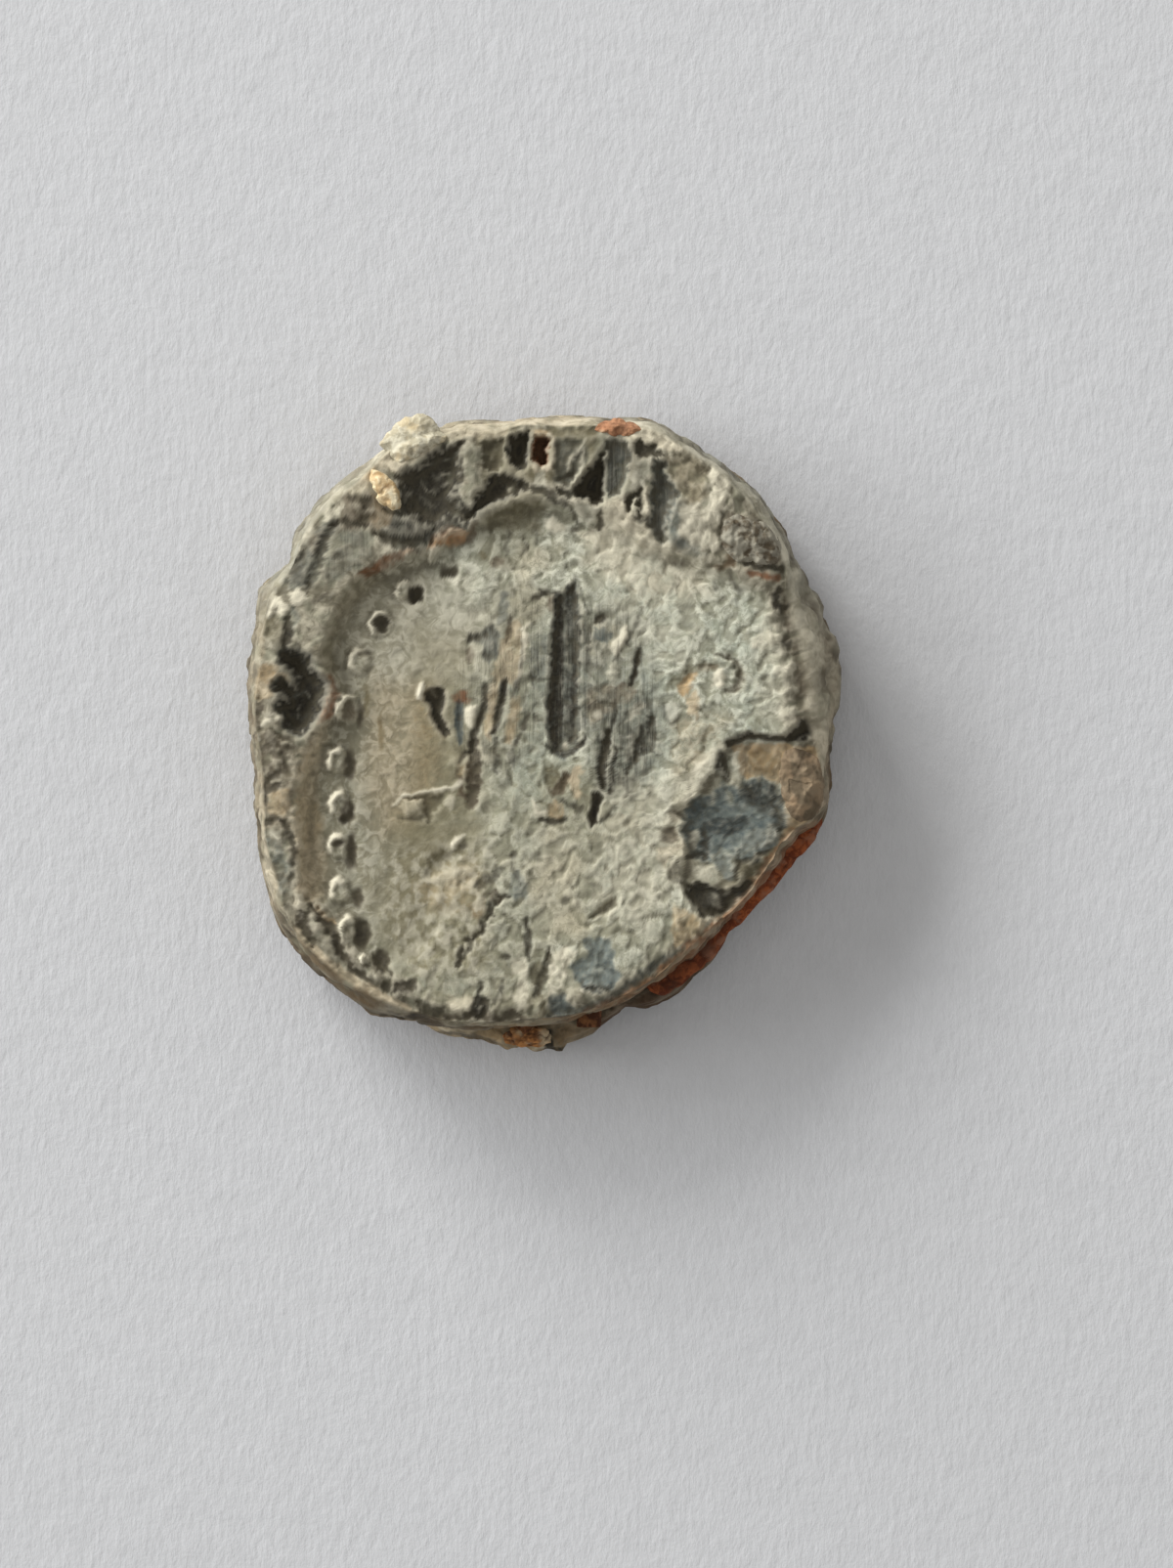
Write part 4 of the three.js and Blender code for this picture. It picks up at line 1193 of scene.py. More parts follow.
    "faintA": dict(path=[(373, 700), (376, 715), (374, 732)], width=3, olive=0.8, dark=0.1),
    "faintB": dict(path=[(388, 735), (390, 750), (389, 766)], width=3.5, olive=0.8, dark=0.1),
    "faintC": dict(path=[(450, 778), (448, 798)], width=3.4, olive=0.6, dark=0.1),
}

lowerMarks = {
    "brightDot": dict(
        shape=[(460, 862), (466, 857), (475, 853), (471, 861), (465, 869), (461, 869)],
        cream=0.9, depth=-0.06, ragged=1,
    ),
    "recess": dict(
        shape=[
            (474, 858), (481, 860), (483, 870), (470, 876), (460, 880), (450, 892), (440, 896),
            (431, 897), (437, 882), (445, 872), (457, 868), (466, 869),
        ],
        olive=0.85, dark=0.15, depth=0.1, slope=8, edge=4, ragged=3,
    ),
    "tanRidge": dict(
        shape=[
            (430, 901), (445, 895), (462, 890), (480, 885), (487, 892), (478, 897), (465, 905),
            (450, 906),
        ],
        cream=0.25, tan=0.2, depth=-0.06,
    ),
    "tanPatch": dict(
        shape=[(466, 896), (478, 896), (485, 905), (478, 915), (465, 918), (457, 915), (455, 905)],
        tan=0.3, cream=0.15,
    ),
    "darkMess": dict(
        shape=[
            (484, 905), (492, 897), (503, 895), (508, 885), (515, 888), (508, 902), (496, 912),
            (488, 912),
        ],
        dark=0.6, depth=0.06,
    ),
    "longCut": dict(
        path=[
            (518, 915), (508, 922), (502, 935), (495, 945), (490, 957), (480, 968), (472, 982),
            (463, 990),
        ],
        width=[2, 4, 3.5, 3, 5, 3, 4.5, 2], dark=0.68, earth=0.2, depth=0.12, ragged=5, speckle=0.45,
    ),
    "cutHead": dict(
        shape=[(498, 915), (508, 910), (514, 918), (510, 926), (500, 920)],
        earth=0.6, dark=0.5, depth=0.08,
    ),
    "cutBrown": dict(
        shape=[(480, 925), (497, 918), (500, 932), (490, 942), (482, 938)],
        earth=0.3, tan=0.15,
    ),
    "slateFan": dict(
        shape=[(522, 895), (530, 890), (538, 905), (541, 918), (528, 922), (518, 915), (522, 905)],
        slate=0.5, dark=0.1,
    ),
    "lowLeftMottle": dict(
        shape=[(395, 870), (500, 860), (505, 1005), (430, 1010), (388, 950)],
        edge=14, cream=0.3, slate=0.12, speckle=0.95,
    ),
    "dotHigh": dict(spot=(525, 875), half=(4, 4), dark=0.75, depth=0.06, ragged=1),
    "dotLine": dict(path=[(524, 880), (526, 890), (534, 906)], width=2.6, dark=0.5, depth=0.05),
    "dotLow": dict(spot=(517, 979), half=(4.5, 4), dark=0.8, olive=0.5, depth=0.08, ragged=1),
    "lineLow": dict(
        path=[(538, 942), (541, 955), (540, 970), (541, 981)],
        width=[2.5, 4, 4.5, 2], dark=0.75, depth=0.08,
    ),
    "lineLowB": dict(
        path=[(563, 970), (560, 985), (555, 1000), (550, 1016)],
        width=[2, 4.5, 5, 4.5], dark=0.7, olive=0.6, depth=0.08,
    ),
    "oliveBlock": dict(
        shape=[(545, 985), (552, 980), (560, 990), (558, 1002), (552, 1013), (545, 1009), (541, 998)],
        olive=0.8, dark=0.45, depth=0.05,
    ),
    "streakDown": dict(path=[(549, 1014), (556, 1028), (552, 1040)], width=4, dark=0.4, olive=0.8),
    "creamTall": dict(
        shape=[
            (521, 985), (530, 975), (541, 985), (541, 1010), (538, 1030), (531, 1034), (524, 1020),
            (529, 1000),
        ],
        cream=0.55,
    ),
    "creamTallR": dict(
        shape=[(566, 975), (576, 969), (591, 975), (582, 990), (576, 1010), (562, 1018), (560, 1000)],
        cream=0.45, tan=0.1,
    ),
    "blotF": dict(
        shape=[
            (490, 1004), (495, 1008), (492, 1020), (500, 1024), (501, 1036), (490, 1043), (479, 1039),
            (481, 1026), (488, 1018),
        ],
        dark=0.92, depth=0.14,
    ),
    "blotG": dict(path=[(514, 1004), (512, 1015), (504, 1026)], width=3.4, dark=0.65, olive=0.3),
    "creamBlock": dict(
        shape=[(458, 1020), (475, 1018), (485, 1022), (480, 1036), (468, 1036), (457, 1030)],
        cream=0.35, tan=0.15,
    ),
    "edgeDark": dict(
        path=[(425, 1040), (440, 1044), (470, 1041), (490, 1036), (510, 1044), (525, 1037), (540, 1045)],
        width=[3, 5, 2.5, 6, 3, 6, 3], dark=0.6, earth=0.5, depth=0.06,
    ),
    "slateField": dict(
        shape=[
            (597, 962), (605, 958), (625, 962), (630, 975), (628, 985), (636, 1000), (626, 1012),
            (610, 1016), (595, 1013), (588, 1000), (583, 990), (590, 983), (600, 978),
        ],
        slate=0.75, depth=0.05,
    ),
    "slateLine": dict(
        path=[(595, 1010), (605, 1012), (621, 1012)],
        width=3.6, dark=0.8, slate=0.4, depth=0.06,
    ),
    "slateLineB": dict(path=[(605, 964), (606, 976)], width=2.6, dark=0.65),
    "slateLineC": dict(path=[(606, 990), (618, 988), (628, 993)], width=4, slate=0.8, dark=0.35),
    "slateTail": dict(
        shape=[(562, 1022), (575, 1015), (581, 1025), (591, 1035), (576, 1041), (561, 1035)],
        slate=0.8, dark=0.4, depth=0.05,
    ),
    "edgeGreen": dict(
        path=[(560, 1040), (592, 1036), (620, 1024), (645, 1007), (665, 990), (690, 975)],
        width=4, olive=0.3, dark=0.55, slate=0.4,
    ),
    "lowRim": dict(
        path=[(300, 952), (330, 985), (366, 1012), (400, 1032)],
        width=[4, 6, 6, 5], earth=0.55, tan=0.3, erase=0.4, edge=3,
    ),
    "lowRimCrest": dict(
        path=[(292, 943), (312, 965), (340, 987), (370, 1006), (402, 1024), (430, 1038)],
        width=[2, 3, 3.4, 3, 3, 2], tan=0.5, cream=0.3, erase=0.6,
    ),
    "dent": dict(
        shape=[(602, 939), (612, 928), (628, 917), (631, 915), (632, 928), (618, 936), (606, 941)],
        olive=0.75, dark=0.2, depth=0.16, slope=4, ragged=0.6,
    ),
    "dentRim": dict(path=[(633, 912), (635, 926), (622, 938)], width=2.4, cream=0.5, depth=-0.06),
    "bitA": dict(spot=(606, 905), half=(4, 3), dark=0.5, ragged=1),
    "bitB": dict(spot=(578, 922), half=(4.5, 5), dark=0.5, depth=0.04, ragged=1),
    "bitC": dict(spot=(547, 875), half=(5, 4), dark=0.4, ragged=1),
    "flatPatch": dict(
        shape=[(530, 850), (560, 842), (580, 852), (578, 880), (560, 888), (538, 880)],
        slate=0.1, olive=0.12, smooth=0.6, edge=5,
    ),
}

rightMarks = {
    "ringArc": dict(
        path=[(735, 670), (750, 673), (756, 685), (758, 697), (750, 707), (742, 706)],
        width=[2, 3, 4, 4.5, 3.5, 2], earth=0.45, dark=0.25, depth=0.12,
    ),
    "ringTan": dict(
        shape=[(693, 702), (700, 692), (712, 688), (708, 702), (703, 713), (698, 712)],
        tan=0.8, earth=0.5, depth=0.06,
    ),
    "ringLeft": dict(
        path=[(682, 706), (688, 698), (700, 688), (712, 680), (728, 680)],
        width=3, olive=0.6, dark=0.2, depth=0.05,
    ),
    "ringTop": dict(path=[(706, 690), (716, 684), (732, 682)], width=4, earth=0.5, olive=0.3, depth=0.05),
    "ringCream": dict(
        shape=[(732, 685), (740, 683), (743, 695), (735, 706), (728, 702)],
        cream=0.8, depth=-0.05,
    ),
    "ringLow": dict(
        shape=[(702, 715), (712, 706), (715, 720), (712, 733), (704, 728)],
        tan=0.65, cream=0.2,
    ),
    "ringBrown": dict(path=[(714, 722), (713, 734)], width=2.8, tan=0.4, earth=0.5),
    "slateChip": dict(
        shape=[(680, 722), (688, 718), (695, 720), (694, 732), (687, 738), (682, 734)],
        slate=0.35, cream=0.3, ragged=1,
    ),
    "slateChipEdge": dict(
        path=[(679, 720), (680, 735), (688, 741), (696, 734)],
        width=2, dark=0.55, ragged=1,
    ),
    "creamHigh": dict(
        shape=[
            (767, 657), (775, 648), (785, 643), (801, 650), (801, 660), (788, 660), (780, 666),
            (771, 663),
        ],
        cream=0.6, depth=-0.04, ragged=2,
    ),
    "creamHighShade": dict(path=[(762, 640), (764, 655), (768, 648)], width=3, olive=0.4, dark=0.15),
    "creamMiddle": dict(
        shape=[(789, 682), (800, 680), (815, 683), (812, 691), (800, 694), (790, 690)],
        cream=0.5, depth=-0.03, ragged=2,
    ),
    "creamLow": dict(
        shape=[(798, 722), (815, 720), (815, 730), (811, 740), (803, 743), (795, 733)],
        cream=0.5,
    ),
    "edgeNib": dict(
        shape=[(795, 656), (803, 650), (811, 655), (809, 665), (802, 661)],
        dark=0.6, earth=0.2, depth=0.06,
    ),
    "breakStep": dict(
        shape=[
            (745, 759), (765, 750), (790, 753), (806, 752), (818, 742), (822, 733), (862, 728),
            (862, 800),
            (854, 848), (840, 850), (818, 858), (802, 874), (777, 907), (752, 934), (739, 942),
            (718, 938),
            (703, 920), (697, 902), (700, 880), (703, 860), (697, 850), (700, 842), (690, 830),
            (702, 822),
            (716, 812), (722, 797), (734, 788), (745, 797), (737, 776),
        ],
        depth=0.3, slope=4, ragged=1.5, bare=1.0,
    ),
    "stepShade": dict(
        path=[(745, 760), (765, 751), (790, 755), (806, 756), (820, 746), (826, 736)],
        width=[4, 4, 2.6, 3, 6.5, 6], ragged=1, dark=0.95, depth=0.1,
    ),
    "stepShadeLow": dict(
        path=[(738, 772), (738, 784), (744, 797)],
        width=[4, 6, 3.5], ragged=1, dark=0.9, depth=0.12,
    ),
    "stepBrown": dict(
        shape=[
            (748, 762), (800, 760), (820, 765), (862, 755), (862, 850), (835, 850), (815, 855),
            (803, 860), (801, 830), (800, 800), (775, 798), (758, 792),
        ],
        earth=0.55, tan=0.4,
    ),
    "stepTanA": dict(spot=(807, 775), half=(8, 8), tan=0.85, ragged=2),
    "stepTanB": dict(spot=(825, 792), half=(8, 8), tan=0.85, ragged=2),
    "stepTanC": dict(spot=(815, 828), half=(9, 8), tan=0.7, ragged=2),
    "stepTanD": dict(spot=(838, 822), half=(8, 12), tan=0.6, rust=0.1),
    "stepOlive": dict(
        shape=[(762, 768), (780, 765), (795, 775), (790, 792), (770, 790)],
        olive=0.8, dark=0.15,
    ),
    "stepDot": dict(spot=(829, 823), half=(4.5, 4), dark=0.8, earth=0.4, ragged=1),
    "stepDotB": dict(spot=(819, 800), half=(4, 3), earth=0.6),
    "stepRed": dict(shape=[(818, 768), (835, 775), (838, 790), (826, 782)], earth=0.5, rust=0.15),
    "stepDark": dict(shape=[(755, 790), (762, 760), (770, 762), (765, 780), (760, 795)], dark=0.5),
    "stepPale": dict(shape=[(748, 772), (756, 768), (757, 785), (750, 788)], cream=0.5, erase=0.6),
    "stepEdge": dict(path=[(850, 808), (848, 820), (842, 834)], width=4, dark=0.5),
    "slatePit": dict(
        shape=[
            (700, 825), (712, 815), (726, 812), (740, 802), (757, 806), (760, 798), (780, 797),
            (795, 808),
            (802, 822), (804, 840), (797, 860), (785, 870), (765, 880), (752, 880), (740, 890),
            (720, 882),
            (705, 870), (697, 850), (699, 840),
        ],
        depth=0.17, slope=20, slate=0.85, dark=0.15, erase=0.85, edge=4.5, ragged=4,
    ),
    "pitDarkTop": dict(
        shape=[
            (757, 802), (775, 799), (795, 802), (803, 820), (798, 838), (780, 832), (765, 824),
            (757, 814),
        ],
        dark=0.7, depth=0.04, edge=5,
    ),
    "pitBlack": dict(
        path=[(768, 820), (778, 826), (792, 824), (800, 832), (798, 850)],
        width=[2, 3, 4, 5, 3], dark=0.75, depth=0.04,
    ),
    "pitBlue": dict(
        shape=[(718, 842), (740, 835), (765, 834), (770, 845), (745, 855), (722, 852)],
        slate=1.0, dark=0.6,
    ),
    "pitBlueHigh": dict(
        shape=[(698, 826), (712, 818), (722, 826), (715, 838), (702, 840)],
        slate=1.0, dark=0.3,
    ),
    "pitGreen": dict(
        shape=[(700, 840), (708, 838), (712, 850), (705, 856), (699, 850)],
        olive=0.6, slate=0.4,
    ),
    "pitUpright": dict(
        path=[(721, 848), (723, 862), (720, 877)],
        width=[4, 4.5, 4], dark=0.75, depth=0.05,
    ),
    "pitArm": dict(path=[(703, 878), (712, 873), (722, 876)], width=3.5, dark=0.8, depth=0.06),
    "pitPaleUp": dict(
        shape=[(705, 852), (713, 848), (717, 860), (712, 870), (706, 864)],
        slate=0.35, cream=0.35, erase=0.8,
    ),
    "pitLight": dict(
        shape=[(752, 868), (762, 855), (775, 847), (786, 849), (781, 862), (765, 873), (750, 879)],
        cream=0.05, slate=0.75, erase=0.3, depth=-0.03, edge=4,
    ),
    "pitLightR": dict(
        shape=[(785, 840), (796, 845), (794, 862), (784, 864)],
        cream=0.08, slate=0.6, erase=0.4, depth=-0.03,
    ),
    "pitLightTop": dict(path=[(745, 812), (748, 822)], width=3, cream=0.3, slate=0.3, erase=0.6),
    "pitLightTopB": dict(path=[(729, 812), (730, 822)], width=3, slate=0.3, cream=0.3, erase=0.6),
    "pitHaze": dict(
        shape=[(728, 878), (738, 868), (750, 872), (753, 886), (750, 899), (741, 899), (732, 888)],
        slate=0.7, cream=0.05, olive=0.3, erase=0.4, depth=-0.02,
    ),
    "pitCream": dict(
        shape=[(711, 888), (720, 885), (735, 889), (736, 902), (722, 903), (713, 897)],
        cream=0.35, olive=0.3, erase=0.6, depth=-0.02, edge=3,
    ),
    "pitCurve": dict(
        path=[(753, 899), (756, 883), (770, 880), (786, 870)],
        width=4, dark=0.75, depth=0.06,
    ),
    "pitOlive": dict(
        shape=[(758, 888), (775, 882), (783, 878), (778, 892), (765, 900), (757, 900)],
        olive=0.6, dark=0.3,
    ),
    "blackLow": dict(
        shape=[
            (702, 905), (715, 902), (730, 905), (745, 911), (765, 900), (773, 902), (756, 925),
            (741, 937), (720, 939), (709, 930), (702, 918),
        ],
        dark=0.92, depth=0.2, slope=6,
    ),
    "blackLowLit": dict(path=[(745, 902), (742, 915)], width=2, erase=0.6),
    "blackLowDot": dict(spot=(711, 928), half=(3, 2.5), erase=1.0, cream=0.4, ragged=0.5),
    "besideA": dict(
        shape=[(677, 850), (690, 845), (696, 855), (686, 864), (677, 861)],
        earth=0.8, dark=0.35, depth=0.08,
    ),
    "besideB": dict(
        shape=[(682, 832), (692, 827), (699, 835), (690, 843)],
        earth=0.6, dark=0.15, depth=0.05,
    ),
    "besideC": dict(
        shape=[(687, 885), (695, 880), (701, 895), (701, 906), (690, 906), (683, 898)],
        dark=0.55, earth=0.2, depth=0.06,
    ),
    "besideTan": dict(
        shape=[(672, 868), (690, 865), (697, 857), (702, 865), (686, 875), (680, 886), (672, 880)],
        cream=0.5, tan=0.35,
    ),
    "lowOlive": dict(
        shape=[(689, 925), (705, 934), (724, 940), (715, 955), (700, 966), (690, 971), (687, 950)],
        tan=0.4, olive=0.25,
    ),
    "edgeStrip": dict(
        shape=[
            (800, 866), (806, 851), (816, 850), (802, 870), (790, 888), (775, 907), (756, 928),
            (742, 942), (737, 938), (752, 924), (770, 905), (786, 882),
        ],
        tan=0.2, earth=0.7, rust=0.3, dark=0.15, erase=0.6,
    ),
    "wallSpotA": dict(
        shape=[(822, 690), (828, 680), (835, 682), (833, 700), (828, 714), (822, 710)],
        dark=0.9, earth=0.3, depth=0.1,
    ),
    "wallSpotB": dict(spot=(839, 716), half=(4.5, 6), dark=0.9, ragged=1),
    "wallLineA": dict(path=[(825, 638), (828, 652), (827, 668)], width=3, dark=0.65),
    "wallLineB": dict(path=[(832, 648), (838, 664)], width=2.6, dark=0.35),
    "wallLineC": dict(path=[(822, 613), (832, 629)], width=3, dark=0.45),
    "wallSpotC": dict(
        shape=[(818, 743), (824, 734), (832, 732), (831, 746), (825, 758), (812, 758), (806, 756)],
        dark=1.0, depth=0.1,
    ),
    "fieldDarkA": dict(path=[(731, 595), (732, 603)], width=3.2, dark=0.45, depth=0.04, ragged=1),
    "fieldDarkB": dict(
        path=[(747, 585), (750, 597), (757, 606)],
        width=[2, 3, 3.5], dark=0.45, depth=0.04, ragged=1,
    ),
    "fieldDarkC": dict(path=[(754, 614), (754, 621)], width=2.6, dark=0.5, ragged=1),
    "fieldDarkD": dict(path=[(723, 652), (729, 655), (734, 648)], width=2.4, dark=0.35, ragged=1),
    "fieldDarkE": dict(spot=(704, 640), half=(6, 4), dark=0.25, slate=0.15, ragged=1),
    "fieldDarkF": dict(path=[(686, 576), (694, 580), (700, 573)], width=3, dark=0.45, ragged=1),
    "fieldDarkG": dict(shape=[(650, 552), (660, 550), (662, 560), (655, 565)], olive=0.6, dark=0.15),
    "fieldShade": dict(shape=[(768, 738), (775, 732), (782, 745), (770, 750)], olive=0.4, dark=0.1),
}

beads = {
    # at, half sizes, turn clockwise, height share, and the strength of a painted cream highlight on the
    # side towards the light
    "row": [
        ((450, 568), (13, 9), -12, 0.6, 0.35), ((414, 604), (11, 12), 20, 0.9, 1.0),
        ((389, 638), (12, 14), 15, 0.9, 0.8),
        ((367, 677), (12, 15), 5, 0.8, 0.7), ((356, 726), (13, 16), 5, 0.9, 0.7),
        ((345, 778), (12, 15), 0, 1.2, 1.5),
        ((347, 823), (12, 15), 0, 1.0, 0.9), ((346, 866), (12, 15), 0, 1.0, 1.0),
        ((347, 912), (11, 15), -5, 0.9, 0.8),
        ((357, 951), (9, 16), -12, 0.8, 0.7), ((374, 981), (7, 5), -15, 0.7, 1.2),
        ((392, 998), (8, 8), -40, 0.3, 0.2),
    ],
    # the sunken shadow beside or inside a bead: at, half sizes, dark share, depth
    "shades": [
        ((459, 585), (9, 6), 0.8, 0.15), ((424, 608), (8, 9), 1.0, 0.25), ((390, 638), (8, 9), 0.85, 0.2),
        ((371, 668), (7, 3), 0.5, 0.05), ((357, 727), (8, 10), 0.0, 0.1),
        ((368, 733), (3, 10), 0.6, 0.06),
        ((357, 783), (6, 14), 0.5, 0.08), ((355, 831), (7, 12), 0.5, 0.1),
        ((351, 838), (4, 5), 0.8, 0.08),
        ((346, 862), (7, 3), 0.6, 0.08), ((359, 872), (5, 18), 0.5, 0.08),
        ((366, 918), (5, 9), 0.6, 0.08),
        ((370, 956), (9, 15), 0.75, 0.12), ((390, 985), (8, 12), 0.7, 0.12),
    ],
    "height": 0.36,  # mm
    "near": 34,  # pixels round its middle that a bead can touch
    "towardsLight": (-0.85, -0.5),
}

paints = ("dark", "slate", "cream", "tan", "rust", "olive", "earth", "streak", "smooth", "bare")
plainMark = {"ragged": 2.2, "edge": 2.2, "slope": 4, "margin": 14}  # pixels, where a mark says nothing else


def reachIntoShape(px, py, points):
    # distance in pixels to a closed outline, positive inside it
    away = np.full(px.shape, 1e9)
    inside = np.zeros(px.shape, bool)
    for (ax, ay), (bx, by) in zip(points, points[1:] + points[:1]):
        share = ((px - ax) * (bx - ax) + (py - ay) * (by - ay)) / ((bx - ax) ** 2 + (by - ay) ** 2)
        share = np.clip(share, 0, 1)
        away = np.minimum(away, np.hypot(px - ax - share * (bx - ax), py - ay - share * (by - ay)))
        if ay != by:
            inside ^= ((ay > py) != (by > py)) & (px < (bx - ax) * (py - ay) / (by - ay) + ax)
    return np.where(inside, away, -away)


def reachIntoPath(px, py, points, width):
    if not isinstance(width, (list, tuple)):
        width = [width * 0.6] + [width] * (len(points) - 2) + [width * 0.6]
    reach = np.full(px.shape, -1e9)
    for (ax, ay), (bx, by), wa, wb in zip(points, points[1:], width, width[1:]):
        share = ((px - ax) * (bx - ax) + (py - ay) * (by - ay)) / ((bx - ax) ** 2 + (by - ay) ** 2)
        share = np.clip(share, 0, 1)
        away = np.hypot(px - ax - share * (bx - ax), py - ay - share * (by - ay))
        reach = np.maximum(reach, wa + share * (wb - wa) - away)
    return reach


def reachIntoSpot(px, py, spot, half, turn=0):
    c, s = math.cos(math.radians(turn)), math.sin(math.radians(turn))
    dx, dy = px - spot[0], py - spot[1]
    across, along = (dx * c + dy * s) / half[0], (-dx * s + dy * c) / half[1]
    return (1 - np.hypot(across, along)) * min(half)


def markReach(px, py, mark):
    if "shape" in mark:
        return reachIntoShape(px, py, mark["shape"])
    if "path" in mark:
        return reachIntoPath(px, py, mark["path"], mark["width"])
    return reachIntoSpot(px, py, mark["spot"], mark["half"], mark.get("turn", 0))


def nearMark(px, py, mark):
    points = np.array(mark.get("shape") or mark.get("path") or [mark["spot"]], float)
    margin = plainMark["margin"] + mark.get("edge", 0) + max(mark.get("half", (0,)))
    low, high = points.min(0) - margin, points.max(0) + margin
    return (px > low[0]) & (px < high[0]) & (py > low[1]) & (py < high[1])


def applyMarks(px, py, z, paint, marks):
    wobbleX = 0.9 * softNoise(px, py, 13, 5) + 0.9 * softNoise(px, py, 5.5, 6)
    wobbleY = 0.9 * softNoise(px, py, 13, 7) + 0.9 * softNoise(px, py, 5.5, 8)
    speckles = smoothStep(roughNoise(px, py, 11, 9, 2), -0.15, 0.2)
    for mark in marks.values():
        near = nearMark(px, py, mark)
        if not near.any():
            continue
        ragged = mark.get("ragged", plainMark["ragged"])
        reach = markReach(px[near] + ragged * wobbleX[near], py[near] + ragged * wobbleY[near], mark)
        edge = mark.get("edge", plainMark["edge"])
        mask = smoothStep(reach, -edge, edge)
        z[near] -= mark.get("depth", 0) * smoothStep(reach, -edge, mark.get("slope", plainMark["slope"]))
        mask = mask * (1 - mark.get("speckle", 0) * speckles[near])
        keep = 1 - mark.get("erase", 0) * mask
        for colour in paints:
            paint[colour][near] = np.maximum(paint[colour][near] * keep, mark.get(colour, 0) * mask)


def applyBeads(px, py, z, paint):
    wobbleX, wobbleY = 2.4 * softNoise(px, py, 8, 21), 2.4 * softNoise(px, py, 8, 22)
    lightX, lightY = beads["towardsLight"]
    for spot, half, turn, worn, pale in beads["row"]:
        near = np.hypot(px - spot[0], py - spot[1]) < beads["near"]
        qx, qy = px[near] + wobbleX[near], py[near] + wobbleY[near]
        away = 1 - reachIntoSpot(qx, qy, spot, half, turn) / min(half)
        dx, dy = qx - spot[0], qy - spot[1]
        side = (dx * lightX + dy * lightY) / (np.hypot(dx, dy) + 0.5)
        dome = 1 - smoothStep(away, 0.55, 1.1)
        edge = np.exp(-((away - 0.78) / 0.24) ** 2) * smoothStep(side, -0.3, 0.6)
        z[near] += beads["height"] * worn * (0.55 * dome + 0.45 * edge)
        for colour in paints:
            paint[colour][near] *= 1 - 0.6 * dome
        # painted highlight: cream along the bead's edge on the side towards the light
        beadHighlight = 1.4 * pale * smoothStep(side, 0.0, 0.5) * np.exp(-((away - 0.8) / 0.25) ** 2)
        paint["cream"][near] = np.maximum(paint["cream"][near], np.clip(beadHighlight, 0, 1))
    for spot, half, dark, depth in beads["shades"]:
        near = np.hypot(px - spot[0], py - spot[1]) < beads["near"]
        reach = reachIntoSpot(px[near] + wobbleX[near], py[near] + wobbleY[near], spot, half)
        mask = smoothStep(reach, -2.5, 2.5)
        paint["cream"][near] *= 1 - mask
        paint["dark"][near] = np.maximum(paint["dark"][near], dark * mask)
        paint["earth"][near] = np.maximum(paint["earth"][near], 0.5 * mask)
        z[near] -= depth * mask


crustLine = {  # where the white crust begins, in the photograph's pixels
    "left": 490,
    "lowFrom": 875,  # below this it reaches further left
    "lowLean": 0.75,
    "highFrom": 640,  # and above this too
    "highLean": 0.2,
    "half": 30,  # half the width of its bank
    "paleBefore": 85,  # its colour sets in over a wider band
    "paleAfter": 55,
}

faceGrain = {  # mm
    "swell": 0.05,
    "bend": 0.2,
    "fold": 0.02,
    "lump": 0.04,
    "grit": 0.014,
    "rim": 0.09,
    "lost": 0.035,
}


def faceRelief(x, y):
    # height above the floor and paint of the struck face, at places in mm
    px, py = toPhoto(x, y, leaf["fieldLevel"] + leaf["faceAbove"])
    angle = np.degrees(np.arctan2(y, x))
    reach = np.hypot(x, y)
    inside = fieldEdgeAt(angle) - reach + 0.07 * roughNoise(x, y, 0.8, 31, 3)
    crest = crestAt(angle)
    rim = 1 - smoothStep(inside, -0.05, leaf["bankWidth"])
    crustEdge = crustLine["left"] - crustLine["lowLean"] * np.maximum(py - crustLine["lowFrom"], 0)
    crustEdge = crustEdge - crustLine["highLean"] * np.maximum(crustLine["highFrom"] - py, 0)
    crustEdge = crustEdge + 26 * softNoise(px, py, 60, 12) + 14 * softNoise(px, py, 18, 13)
    crust = smoothStep(px, crustEdge - crustLine["half"], crustEdge + crustLine["half"])
    rimLevel = np.maximum(leaf["rimHeight"] * rimShareAt(angle), leaf["crustHeight"])
    z = leaf["fieldLevel"] + rimLevel * rim + leaf["crustHeight"] * crust * (1 - rim)
    z = z - leaf["edgeDrop"] * smoothStep(reach, crest - 0.6, crest)

    z = z + faceGrain["swell"] * roughNoise(x, y, 2.6, 51, 2)
    lumpy = 0.42 + 0.58 * np.maximum(crust, rim)
    bend = faceGrain["bend"]
    bentX, bentY = x + bend * softNoise(x, y, 0.75, 55), y + bend * softNoise(x, y, 0.75, 56)
    folds = 0.5 - 2 * np.abs(softNoise(bentX, bentY, 0.62, 61))
    fine = faceGrain["fold"] * folds + faceGrain["lump"] * roughNoise(bentX, bentY, 0.55, 71, 2)
    fine = fine + faceGrain["grit"] * softNoise(x, y, 0.24, 72)
    z = z + lumpy * fine
    z = z + rim * faceGrain["rim"] * roughNoise(x, y, 0.75, 81, 3)
    lost = smoothStep(roughNoise(bentX, bentY, 0.7, 91, 2), 0.1, 0.3)
    z = z - faceGrain["lost"] * lost * lumpy
    z = z - leaf["topSoft"] * np.maximum(z - leaf["topFrom"], 0)

    paint = {name: np.zeros(x.shape) for name in paints}
    pale = smoothStep(px, crustEdge - crustLine["paleBefore"], crustEdge + crustLine["paleAfter"])
    paint["crust"] = pale * (1 - 0.7 * rim)
    paint["lost"] = lost * lumpy
    paint["rim"] = rim
    for marks in (tintMarks, topMarks, leftMarks, middleMarks, lowerMarks, rightMarks):
        applyMarks(px, py, z, paint, marks)
    applyBeads(px, py, z, paint)
    return z, paint


